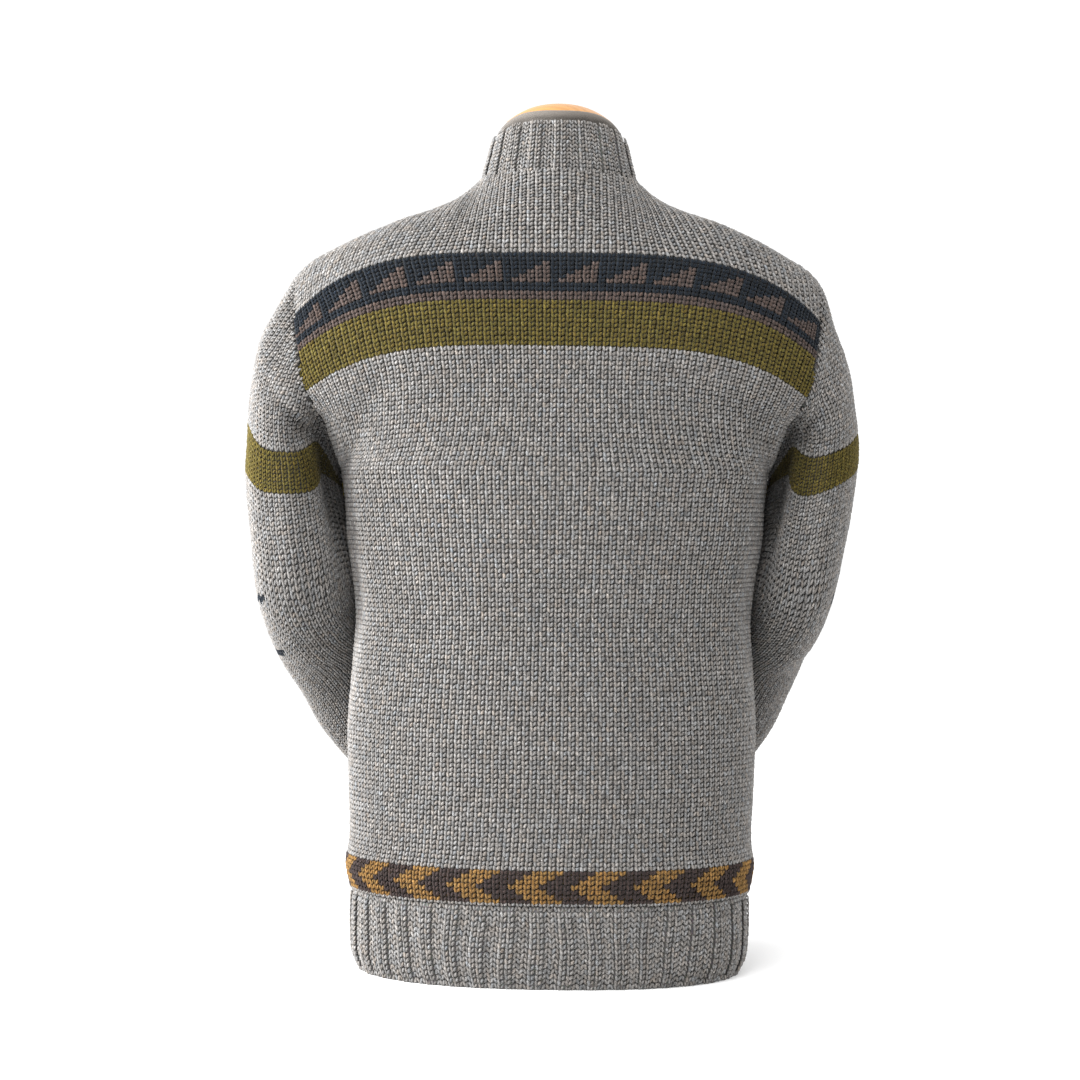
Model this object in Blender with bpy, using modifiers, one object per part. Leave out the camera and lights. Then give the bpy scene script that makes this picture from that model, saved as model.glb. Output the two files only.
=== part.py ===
"""Heavy wool mock-neck sweater worn by a limbless dress form, seen from behind.

The back of the garment faces -Y, the floor is z = 0 and every size is in metres.
Each knitted piece is a wall lofted through rows of stitches, called courses: course 0
is the first one above the hem rib and course 159 ends at the shoulder and the collar.
"""

import math

import bpy
import numpy as np

WALL = 0.003
LINING_WALL = 0.0016
SEAM_GAP = 0.0003
COLLECTION = "wool_sweater_on_form"

YOKE_COURSE = 137
TOP_COURSE = 159
UNDERARM_COURSE = 90
HALF_COLUMNS = 12
NECK_COLUMNS = 5
BODY_COURSES = (0, 3, 6, 9, 14, 22, 30, 38, 46, 54, 62, 70, 78, 84)
ARMHOLE_COURSES = (90, 95, 100, 105, 110, 116, 122, 128, 134, 140, 146, 151, 155, 159)

# course, height at the centre, back depth, front depth, squareness
BODY_ROWS = (
    (0, 0.0680, 0.1175, 0.1150, 2.30),
    (5, 0.0885, 0.1200, 0.1170, 2.30),
    (10, 0.1065, 0.1180, 0.1155, 2.30),
    (22, 0.1530, 0.1175, 0.1150, 2.30),
    (36, 0.2060, 0.1165, 0.1130, 2.30),
    (50, 0.2620, 0.1125, 0.1090, 2.30),
    (58, 0.2935, 0.1095, 0.1070, 2.30),
    (66, 0.3250, 0.1100, 0.1085, 2.30),
    (76, 0.3645, 0.1125, 0.1140, 2.30),
    (84, 0.3960, 0.1145, 0.1180, 2.35),
    (90, 0.4195, 0.1160, 0.1200, 2.40),
    (104, 0.4745, 0.1180, 0.1220, 2.50),
    (116, 0.5204, 0.1165, 0.1200, 2.60),
    (126, 0.5575, 0.1120, 0.1140, 2.60),
    (137, 0.5957, 0.1040, 0.1010, 2.60),
)

# course, half width, back depth, front depth and height of a panel's edge: the side
# seam up to the underarm, and the armhole from there to the shoulder
EDGE_ROWS = (
    (0, 0.1680, 0.0, 0.0, 0.0680),
    (5, 0.1715, 0.0, 0.0, 0.0885),
    (10, 0.1690, 0.0, 0.0, 0.1065),
    (22, 0.1700, 0.0, 0.0, 0.1530),
    (36, 0.1712, 0.0, 0.0, 0.2060),
    (50, 0.1675, 0.0, 0.0, 0.2620),
    (58, 0.1654, 0.0, 0.0, 0.2935),
    (66, 0.1680, 0.0, 0.0, 0.3250),
    (76, 0.1738, 0.0, 0.0, 0.3640),
    (84, 0.1765, 0.0, 0.0, 0.3950),
    (90, 0.1795, 0.0, 0.0, 0.4175),
    (96, 0.1840, 0.022, 0.024, 0.4320),
    (104, 0.1930, 0.046, 0.042, 0.4590),
    (110, 0.2000, 0.060, 0.052, 0.4700),
    (116, 0.2060, 0.066, 0.058, 0.4820),
    (126, 0.2140, 0.061, 0.060, 0.5135),
    (137, 0.2185, 0.038, 0.046, 0.5455),
)

# part of the way from the yoke course to the top edge, then how far the cloth has come
# forward and up there: beside the neck, and over the shoulder
YOKE_ROWS = (
    (0.00, 0.00, 0.00, 0.00, 0.00),
    (0.25, 0.12, 0.23, 0.09, 0.48),
    (0.50, 0.38, 0.51, 0.28, 0.79),
    (0.75, 0.74, 0.755, 0.58, 0.95),
    (1.00, 1.00, 1.00, 1.00, 1.00),
)

# distance from the centre and height along the shoulder seam
SHOULDER_ROWS = (
    (0.0635, 0.6665),
    (0.0735, 0.6555),
    (0.0900, 0.6430),
    (0.1200, 0.6290),
    (0.1530, 0.6165),
    (0.1860, 0.6020),
    (0.2050, 0.5925),
    (0.2175, 0.5830),
)
SHOULDER_Y = 0.004
NECK_BACK = (-0.0605, 0.6675)
NECK_FRONT = (0.0620, 0.6480)

# height, half width, back depth and front depth of the hem rib
HEM_ROWS = (
    (0.0025, 0.1608, 0.1130, 0.1105),
    (0.0120, 0.1645, 0.1155, 0.1130),
    (0.0300, 0.1665, 0.1172, 0.1147),
    (0.0500, 0.1668, 0.1175, 0.1150),
    (0.0677, 0.1664, 0.1168, 0.1142),
)
HEM_LEVELS = (0.0025, 0.0100, 0.0380, 0.0677)
HEM_RIBS = 20
RIB_RAISE = 0.0016

# way up the collar, half width, back depth and front depth
COLLAR_ROWS = (
    (0.00, 0.0632, 0.0600, 0.0612),
    (0.25, 0.0612, 0.0583, 0.0598),
    (0.55, 0.0586, 0.0555, 0.0583),
    (0.80, 0.0566, 0.0535, 0.0570),
    (1.00, 0.0543, 0.0515, 0.0552),
)
# height of the collar's seam and of its upper edge at the back, the side and the front
COLLAR_SEAM = (0.6679, 0.6669, 0.6484)
COLLAR_EDGE = (0.7095, 0.6980, 0.6850)
LINING_EDGE = (0.7169, 0.7003, 0.6875)
COLLAR_LEVELS = (0.004, 0.4, 0.93, 1.0)
LINING_LEVELS = (0.08, 0.5, 0.845, 1.0)
COLLAR_INSET = 0.0008
COLLAR_RIBS = 18
COLLAR_SHIFT = 2
LINING_COLUMNS = 36

# course, place across the panel, depth, half length in courses, half width across, slant:
# soft troughs of the back where the cloth hangs from the shoulders and under the arms
BACK_FOLDS = (
    (98, -0.80, 0.0035, 14, 0.09, 0.010),
    (100, 0.82, 0.0030, 15, 0.09, -0.010),
    (66, -0.86, 0.0022, 24, 0.07, 0.002),
    (62, 0.86, 0.0022, 22, 0.07, -0.002),
    (30, -0.74, 0.0015, 20, 0.10, 0.001),
    (28, 0.70, 0.0016, 22, 0.09, -0.001),
)
FRONT_FOLDS = (
    (94, -0.76, 0.0020, 15, 0.11, 0.008),
    (95, 0.78, 0.0020, 15, 0.11, -0.008),
    (60, -0.70, 0.0018, 24, 0.10, 0.002),
    (58, 0.72, 0.0018, 24, 0.10, -0.002),
)

# distance out to the inner and the outer side, centre y and height, rise of the outer
# side in degrees, half depth, and how much farther out the left sleeve reaches than the
# right one
SLEEVE_ROWS = (
    (0.1795, 0.2175, 0.0000, 0.5000, 77.0, 0.0640, 0.000),
    (0.1812, 0.2242, 0.0000, 0.4916, 74.4, 0.0660, 0.001),
    (0.1812, 0.2335, 0.0000, 0.4798, 68.8, 0.0680, 0.005),
    (0.1810, 0.2440, 0.0000, 0.4677, 61.3, 0.0690, 0.008),
    (0.1808, 0.2512, 0.0000, 0.4534, 52.0, 0.0690, 0.007),
    (0.1798, 0.2558, 0.0000, 0.4367, 38.6, 0.0685, 0.006),
    (0.1783, 0.2566, 0.0005, 0.4182, 31.7, 0.0675, 0.005),
    (0.1766, 0.2560, 0.0015, 0.3945, 25.4, 0.0655, 0.007),
    (0.1741, 0.2526, 0.0040, 0.3650, 18.0, 0.0630, 0.010),
    (0.1705, 0.2472, 0.0120, 0.3330, 8.0, 0.0590, 0.013),
    (0.1665, 0.2400, 0.0340, 0.3030, -6.0, 0.0515, 0.017),
    (0.1585, 0.2285, 0.0640, 0.2755, -20.0, 0.0445, 0.018),
    (0.1485, 0.2143, 0.0900, 0.2440, -27.0, 0.0405, 0.013),
    (0.1345, 0.1995, 0.1110, 0.2130, -30.0, 0.0385, 0.009),
    (0.1140, 0.1760, 0.1280, 0.1800, -33.0, 0.0360, 0.004),
    (0.0893, 0.1467, 0.1380, 0.1420, -35.0, 0.0330, 0.000),
    (0.0672, 0.1228, 0.1435, 0.1090, -35.0, 0.0315, 0.000),
    (0.0506, 0.1054, 0.1465, 0.0850, -35.0, 0.0310, 0.000),
)
CUFF_START = 14.85
CUFF_STATIONS = (14.85, 15.9, 17.0)
SLEEVE_RINGS = 21
CUFF_RIBS = 10
CUFF_INSET = 0.0010

# station, angle round from the underarm over the back, depth, rise, half length in
# stations and half width in degrees of a sleeve's folds
SLEEVE_FOLDS = (
    (3.6, 46, 0.0150, 0.014, 2.6, 30),
    (8.6, 70, 0.0030, 0.000, 2.2, 26),
    (10.4, 285, 0.0060, 0.000, 0.7, 42),
    (11.6, 290, 0.0050, 0.000, 0.6, 36),
    (9.4, 300, 0.0045, 0.000, 0.6, 34),
    (12.9, 130, 0.0026, 0.000, 0.9, 36),
)

# course, clearance of the form's body from the cloth's outer face in the middle of a
# panel, and at its edge
FORM_ROWS = (
    (0, 0.0120, 0.0120),
    (30, 0.0100, 0.0100),
    (60, 0.0085, 0.0085),
    (90, 0.0085, 0.0085),
    (116, 0.0065, 0.0065),
    (137, 0.0058, 0.0052),
    (150, 0.0072, 0.0046),
    (159, 0.0088, 0.0041),
)
FORM_COURSES = (0, 6, 14, 30, 46, 62, 78, 90, 100, 110, 122, 134, 140, 146, 151, 155, 159)
# height, radius and forward shift of the form's neck
NECK_ROWS = (
    (0.6850, 0.0458, 0.0015),
    (0.7000, 0.0448, 0.0012),
    (0.7120, 0.0440, 0.0010),
)
# the turned neck cap, a low dome that falls faster and faster towards its rim
CAP_BASE = 0.7123
CAP_RADIUS = 0.0447
CAP_HEIGHT = 0.0157
CAP_POWER = 2.4
CAP_STEPS = 10
CAP_SHIFT = 0.0010

FINISHES = {
    "grey_wool": ((0.23, 0.22, 0.215), 0.95),
    "lining_cloth": ((0.16, 0.15, 0.14), 0.9),
    "form_cover": ((0.62, 0.58, 0.52), 0.85),
    "neck_cap_wood": ((0.76, 0.42, 0.16), 0.35),
}


def smooth(rows, column, at):
    """A smooth curve through one column of a table, read against its first column."""
    table = np.array(rows)
    x, y = table[:, 0], table[:, column]
    at = np.asarray(at, float)
    slope = np.gradient(y, x)
    k = np.clip(np.searchsorted(x, at, side="right") - 1, 0, len(x) - 2)
    width = x[k + 1] - x[k]
    s = np.clip((at - x[k]) / width, 0, 1)
    rise = (2 * s**3 - 3 * s**2 + 1) * y[k] + (3 * s**2 - 2 * s**3) * y[k + 1]
    bend = (s**3 - 2 * s**2 + s) * slope[k] + (s**3 - s**2) * slope[k + 1]
    return rise + width * bend


def step(x):
    """0 to 1 with level ends."""
    x = np.clip(x, 0, 1)
    return x * x * (3 - 2 * x)


def along(points, shares):
    """The points at these shares of a polyline's length."""
    piece = np.linalg.norm(np.diff(points, axis=0), axis=1)
    length = np.concatenate([[0], np.cumsum(piece)])
    at = shares * length[-1]
    return np.stack([np.interp(at, length, points[:, k]) for k in range(3)], axis=1)


def shoulder_seam(shares):
    """The seam from the collar out to the shoulder point."""
    x = np.linspace(SHOULDER_ROWS[0][0], SHOULDER_ROWS[-1][0], 120)
    seam = np.stack([x, np.full_like(x, SHOULDER_Y), smooth(SHOULDER_ROWS, 1, x)], axis=1)
    return along(seam, shares)


def neckline(shares, centre):
    """A panel's quarter of the collar seam, from its centre round to the shoulder seam."""
    half, top = SHOULDER_ROWS[0]
    angle = np.linspace(0, math.pi / 2, 120)
    x = half * np.sin(angle)
    y = SHOULDER_Y + (centre[0] - SHOULDER_Y) * np.cos(angle)
    z = centre[1] + (top - centre[1]) * np.sin(angle) ** 2
    return along(np.stack([x, y, z], axis=1), shares)


def panel(courses, across, back):
    """Points of the back or front panel: the rows are courses and the columns run across from
    -1 at one edge to 1 at the other, evenly along each course."""
    courses = np.asarray(courses, float)
    across = np.asarray(across, float)
    sign, depth, edge, centre = (-1, 2, 2, NECK_BACK) if back else (1, 3, 3, NECK_FRONT)
    low = np.minimum(courses, YOKE_COURSE)
    height = smooth(BODY_ROWS, 1, low)
    middle = smooth(BODY_ROWS, depth, low)
    square = smooth(BODY_ROWS, 4, low)
    side_x = smooth(EDGE_ROWS, 1, low)
    side_y = np.where(low > UNDERARM_COURSE, smooth(EDGE_ROWS, edge, low), 0)
    side_z = smooth(EDGE_ROWS, 4, low)
    share = np.linspace(0, 1, 160)
    turn = np.arccos(np.clip(side_y / middle, 0, 1) ** (square / 2))
    wide = side_x / np.sin(turn) ** (2 / square)
    tables = zip(turn, wide, middle, square, side_x, side_z, height)
    whole = np.empty((len(courses), len(across), 3))
    t = np.abs(across)
    for row, (angle, reach, deep, power, x_end, z_end, z_mid) in enumerate(tables):
        x = reach * np.sin(angle * share) ** (2 / power)
        y = sign * deep * np.cos(angle * share) ** (2 / power)
        z = z_mid + (z_end - z_mid) * (x / x_end) ** 4
        whole[row] = along(np.stack([x, y, z], axis=1), t)
    split = NECK_COLUMNS / HALF_COLUMNS
    top = np.where(
        (t < split)[:, None],
        neckline(np.clip(t / split, 0, 1), centre),
        shoulder_seam(np.clip((t - split) / (1 - split), 0, 1)),
    )
    above = np.clip((courses - YOKE_COURSE) / (TOP_COURSE - YOKE_COURSE), 0, 1)[:, None]
    outer = step((t - split * 0.8) / (split * 0.8))[None, :]
    forward = smooth(YOKE_ROWS, 1, above) * (1 - outer) + smooth(YOKE_ROWS, 3, above) * outer
    up = smooth(YOKE_ROWS, 2, above) * (1 - outer) + smooth(YOKE_ROWS, 4, above) * outer
    shares = np.stack([above * np.ones_like(outer), forward, up], axis=2)
    whole += shares * (top[None] - whole)
    whole[:, :, 0] *= np.where(across < 0, -1, 1)[None]
    return whole


def fold_depth(courses, across, folds):
    """How deep the soft troughs are at each point of a panel."""
    c, t = np.meshgrid(courses, across, indexing="ij")
    total = np.zeros(c.shape)
    for course, place, depth, half_length, half_width, slant in folds:
        down = ((c - course) / half_length) ** 2
        over = ((t - place - slant * (c - course)) / half_width) ** 2
        total += depth * np.exp(-down) * (1.5 * np.exp(-over) - 0.5 * np.exp(-over / 4))
    return total * step((1 - np.abs(t)) / 0.06)


def armhole(side):
    """The closed edge that a sleeve is sewn to, from the underarm up the back, over the
    shoulder and down the front."""
    back = panel(ARMHOLE_COURSES, [side], True)[:, 0]
    front = panel(ARMHOLE_COURSES, [side], False)[:, 0]
    return np.concatenate([back, front[-2::-1]])


def sleeve(stations, side, ring=None):
    """Rings of a sleeve: each is an oval round its station's centre, and the first ones
    take over the armhole's own shape."""
    sewn = armhole(side)
    piece = np.linalg.norm(np.diff(sewn, axis=0), axis=1)
    length = np.concatenate([[0], np.cumsum(piece)])
    half = len(ARMHOLE_COURSES) - 1
    own = np.concatenate([
        math.pi * length[: half + 1] / length[half],
        math.pi + math.pi * (length[half + 1 :] - length[half]) / (length[-1] - length[half]),
    ])
    angle = own if ring is None else np.asarray(ring, float)
    stations = np.asarray(stations, float)
    index = np.arange(len(SLEEVE_ROWS))
    rows = np.column_stack([index, SLEEVE_ROWS])

    def read(column, at):
        return smooth(rows, column, at)

    def centre(at):
        outer = read(2, at) - 0.5 * side * read(7, at)
        inner = read(1, at)
        middle = np.stack([side * (inner + outer) / 2, read(3, at), read(4, at)], axis=-1)
        return middle, (outer - inner) / 2

    def ovals(at, angles):
        lean = np.radians(read(5, at))
        middle, half = centre(at)
        ahead = centre(at + 0.05)[0] - centre(at - 0.05)[0]
        ahead[..., 0] *= side
        ahead /= np.linalg.norm(ahead, axis=-1, keepdims=True)
        out = np.stack([np.cos(lean), np.zeros_like(lean), np.sin(lean)], axis=-1)
        rise = np.stack([-np.sin(lean), np.zeros_like(lean), np.cos(lean)], axis=-1)
        fall = np.arctan2(ahead[..., 1], np.maximum(0.3, -np.sum(rise * ahead, axis=-1)))
        fall = -fall * step((at - 7) / 3)
        back = rise * np.sin(fall)[..., None]
        back[..., 1] -= np.cos(fall)
        out[..., 0] *= side
        back[..., 0] *= side
        u, v = -np.cos(angles), np.sin(angles)
        return (
            middle[:, None]
            + out[:, None] * ((half / np.cos(lean))[:, None] * u)[..., None]
            + back[:, None] * (read(6, at)[:, None] * v)[..., None]
        )

    rings = ovals(stations, angle[None])
    start = ovals(np.zeros(1), own[None])[0]
    left = sewn - start
    if ring is not None:
        left = np.stack([np.interp(angle, own, left[:, k]) for k in range(3)], axis=1)
    rings = rings + left[None] * (1 - step(stations / 5.5))[:, None, None]
    inward = rings.mean(axis=1, keepdims=True) - rings
    inward /= np.linalg.norm(inward, axis=2, keepdims=True)
    for place, turn, depth, lift, half_length, half_turn in SLEEVE_FOLDS:
        off = np.abs((np.degrees(angle) - turn + 180) % 360 - 180) / half_turn
        weight = np.exp(-(off**2))[None] * np.exp(-(((stations - place) / half_length) ** 2))[:, None]
        weight = weight * step(stations / 1.2)[:, None]
        rings = rings + inward * (depth * weight)[..., None]
        rings[..., 2] += lift * weight
    return rings


def add_object(name, points, faces, finish):
    mesh = bpy.data.meshes.new(name)
    mesh.from_pydata([tuple(p) for p in points], [], faces)
    mesh.materials.append(bpy.data.materials[finish])
    mesh.validate()
    made = bpy.data.objects.new(name, mesh)
    bpy.data.collections[COLLECTION].objects.link(made)
    return made


def grid_faces(rows, columns, first, flip, around):
    faces = []
    for r in range(rows - 1):
        for c in range(columns if around else columns - 1):
            d = (c + 1) % columns
            corners = [first + r * columns + c, first + r * columns + d]
            corners += [first + (r + 1) * columns + d, first + (r + 1) * columns + c]
            faces.append(corners[::-1] if flip else corners)
    return faces


def wall(name, outer, inner, finish, around=False, turned=False):
    """A wall between an outer and an inner grid of points, closed along every edge."""
    rows, columns = outer.shape[:2]
    count = rows * columns
    points = np.concatenate([outer.reshape(-1, 3), inner.reshape(-1, 3)])
    faces = grid_faces(rows, columns, 0, turned, around)
    faces += grid_faces(rows, columns, count, not turned, around)

    def edge(numbers, flip):
        for a, b in zip(numbers[:-1], numbers[1:]):
            # split from the lower outer point, so that both sides of a seam match
            if points[a][2] <= points[b][2]:
                halves = [[a, a + count, b + count], [a, b + count, b]]
            else:
                halves = [[a, a + count, b], [a + count, b + count, b]]
            faces.extend(half[::-1] if flip else half for half in halves)

    bottom = list(range(columns))
    top = [(rows - 1) * columns + c for c in range(columns)]
    if around:
        bottom, top = bottom + bottom[:1], top + top[:1]
    edge(bottom, turned)
    edge(top, not turned)
    if not around:
        left = [r * columns for r in range(rows)]
        right = [r * columns + columns - 1 for r in range(rows)]
        edge(left, not turned)
        edge(right, turned)
    return add_object(name, points, faces, finish)


def skin_normals(grids):
    """Outward unit normals of several grids that share their seams. The faces that meet at a
    point are averaged within each layer of the skin, and then the layers with each other."""
    layers = {}

    def key(point):
        return tuple(np.round(point, 6))

    for points, flip, layer in grids:
        flat = points.reshape(-1, 3)
        for corners in grid_faces(*points.shape[:2], 0, flip, False):
            a, b, c, d = flat[corners]
            normal = np.cross(c - a, d - b)
            for corner in corners:
                sums = layers.setdefault(key(flat[corner]), {})
                sums[layer] = sums.get(layer, 0) + normal
    found = []
    for points, _, _ in grids:
        normals = []
        for point in points.reshape(-1, 3):
            units = [n / np.linalg.norm(n) for n in layers[key(point)].values()]
            normals.append(np.sum(units, axis=0))
        normals = np.array(normals).reshape(points.shape)
        found.append(normals / np.linalg.norm(normals, axis=2, keepdims=True))
    return found


def parted(points, normals, edges):
    """The grid with these of its edges drawn in by half the seam's gap, square to the seam
    and to the wall's own direction there."""
    moved = points.copy()
    for edge in edges:
        line, inside = {
            "bottom": ((0, slice(None)), (1, slice(None))),
            "top": ((-1, slice(None)), (-2, slice(None))),
            "left": ((slice(None), 0), (slice(None), 1)),
            "right": ((slice(None), -1), (slice(None), -2)),
        }[edge]
        way = np.cross(np.gradient(points[line], axis=0), normals[line])
        way *= np.sign(np.sum(way * (points[inside] - points[line]), axis=1))[:, None]
        moved[line] += way / np.linalg.norm(way, axis=1, keepdims=True) * SEAM_GAP / 2
    return moved


def hem_half(across, back):
    """Half of the hem rib, with its ribs raised in the outer points."""
    levels = np.array(HEM_LEVELS)
    half = smooth(HEM_ROWS, 1, levels)
    deep = smooth(HEM_ROWS, 2 if back else 3, levels)
    share = np.linspace(0, math.pi / 2, 160)
    rings = np.empty((len(levels), len(across), 3))
    for row, z in enumerate(levels):
        x = half[row] * np.sin(share) ** (2 / 2.3)
        y = deep[row] * np.cos(share) ** (2 / 2.3)
        rings[row] = along(np.stack([x, y, np.full_like(x, z)], axis=1), np.abs(across))
    rings[:, :, 0] *= np.where(across < 0, -1, 1)[None]
    rings[:, :, 1] *= -1 if back else 1
    return rings


def level_normals(rings, back):
    """Level unit normals of a hem half, square to the side seam at its ends."""
    over = np.gradient(rings, axis=1)
    normals = np.stack([over[..., 1], -over[..., 0], np.zeros(over.shape[:2])], axis=-1)
    normals *= 1 if back else -1
    normals[:, 0], normals[:, -1] = (-1, 0, 0), (1, 0, 0)
    return normals / np.linalg.norm(normals, axis=2, keepdims=True)


def collar_ring(up, columns, inset, edge):
    """Rings of the collar or of its lining, from the left side round the back. The width is
    read at each point's own height, so that the lining stays inside the collar."""
    angle = np.linspace(0, 2 * math.pi, columns, endpoint=False)
    side, deep = -np.cos(angle), -np.sin(angle)
    up = np.asarray(up, float)[:, None]

    def height(levels, share):
        at_back, at_side, at_front = levels
        return at_side + np.where(deep < 0, at_back - at_side, at_front - at_side) * share

    low = height(COLLAR_SEAM, deep**2)
    slope = step(np.abs(deep))
    z = low + (height(edge, slope) - low) * up
    way = np.clip((z - low) / (height(COLLAR_EDGE, slope) - low), 0, 1)
    half, back, front = (smooth(COLLAR_ROWS, k, way) - inset for k in (1, 2, 3))
    x = half * side
    y = np.where(deep < 0, back, front) * deep + SHOULDER_Y * (1 - np.abs(deep))
    return np.stack([x, y, z], axis=2)


def rib_pattern(columns):
    """0 in the furrows and 1 on the ribs, four columns to a repeat."""
    return np.array([0.0, 1.0, 1.0, 0.0])[np.arange(columns) % 4]


def build_panels():
    """The grids of the panels and the sleeves, with normals that match along their seams."""
    across = np.linspace(-1, 1, 2 * HALF_COLUMNS + 1)
    courses = BODY_COURSES + ARMHOLE_COURSES
    back = panel(courses, across, True)
    front = panel(courses, across, False)
    stations = np.linspace(0, CUFF_START, SLEEVE_RINGS)
    sleeves = {side: sleeve(stations, side) for side in (-1, 1)}
    skins = [(back, False, "body"), (front, True, "body")]
    skins += [(sleeves[-1], False, "left"), (sleeves[1], True, "right")]
    normals = skin_normals(skins)
    return across, courses, stations, back, front, sleeves, normals


def clear_scene():
    for thing in list(bpy.data.objects):
        bpy.data.objects.remove(thing, do_unlink=True)


def make_finishes():
    for name, (colour, roughness) in FINISHES.items():
        finish = bpy.data.materials.new(name)
        finish.use_nodes = True
        shader = finish.node_tree.nodes["Principled BSDF"]
        shader.inputs["Base Color"].default_value = (*colour, 1)
        shader.inputs["Roughness"].default_value = roughness
        shader.inputs["Metallic"].default_value = 0


def build_body(across, courses, back, front, normals):
    sewn = ["bottom", "left", "right", "top"]
    for name, grid, normal, folds, turned in (
        ("back_panel", back, normals[0], BACK_FOLDS, False),
        ("front_panel", front, normals[1], FRONT_FOLDS, True),
    ):
        outer = grid - normal * fold_depth(courses, across, folds)[..., None]
        inner = outer - normal * WALL
        shift = parted(outer, normal, sewn) - outer
        wall(name, outer + shift, inner + shift, "grey_wool", turned=turned)


def build_hem():
    across = np.linspace(-1, 1, 4 * HEM_RIBS + 1)
    for name, back in (("hem_rib_back", True), ("hem_rib_front", False)):
        rings = hem_half(across, back)
        normals = level_normals(rings, back)
        raised = rib_pattern(len(across))[None, :, None] * RIB_RAISE * normals
        inner = rings - normals * WALL
        shift = parted(rings, normals, ["left", "right"]) - rings
        wall(name, rings + raised + shift, inner + shift, "grey_wool", turned=not back)


def build_sleeves(stations, sleeves, normals):
    for side, name, normal in ((-1, "left", normals[2]), (1, "right", normals[3])):
        outer = sleeves[side]
        inner = outer - normal * WALL
        shift = parted(outer, normal, ["bottom", "top"]) - outer
        turned = side > 0
        closed = (outer + shift)[:, :-1], (inner + shift)[:, :-1]
        wall("sleeve_" + name, *closed, "grey_wool", around=True, turned=turned)
        columns = 4 * CUFF_RIBS
        ring = np.linspace(0, 2 * math.pi, columns, endpoint=False)
        cuff = sleeve(CUFF_STATIONS, side, ring)
        down = cuff[1] - cuff[0]
        cuff[0] += down * SEAM_GAP / np.linalg.norm(down, axis=1, keepdims=True)
        outward = cuff - cuff.mean(axis=1, keepdims=True)
        outward /= np.linalg.norm(outward, axis=2, keepdims=True)
        raised = cuff + outward * (rib_pattern(columns)[None, :, None] * RIB_RAISE - CUFF_INSET)
        inner = cuff - outward * (CUFF_INSET + WALL)
        wall("cuff_" + name, raised, inner, "grey_wool", around=True, turned=turned)


def build_collar():
    """The ribbed collar, its ribs fading at the upper edge, and the lining inside it."""
    columns = 4 * COLLAR_RIBS
    rings = collar_ring(COLLAR_LEVELS, columns, COLLAR_INSET, COLLAR_EDGE)
    inner = collar_ring(COLLAR_LEVELS, columns, COLLAR_INSET + WALL, COLLAR_EDGE)
    outward = rings - inner
    outward /= np.linalg.norm(outward, axis=2, keepdims=True)
    fade = np.array([1.0, 1.0, 0.85, 0.3])[:, None, None]
    ribs = np.roll(rib_pattern(columns), COLLAR_SHIFT)[None, :, None]
    raised = ribs * RIB_RAISE * outward * fade
    wall("collar", rings + raised, inner, "grey_wool", around=True)
    inset = COLLAR_INSET + WALL + SEAM_GAP + 0.0005
    outer = collar_ring(LINING_LEVELS, LINING_COLUMNS, inset, LINING_EDGE)
    inner = collar_ring(LINING_LEVELS, LINING_COLUMNS, inset + LINING_WALL, LINING_EDGE)
    middle = (inner[-1] + outer[-1]) / 2
    inner[-1] = middle + (inner[-1] - middle) * 0.5
    outer[-1] = middle + (outer[-1] - middle) * 0.5
    wall("collar_lining", outer, inner, "lining_cloth", around=True)


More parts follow.
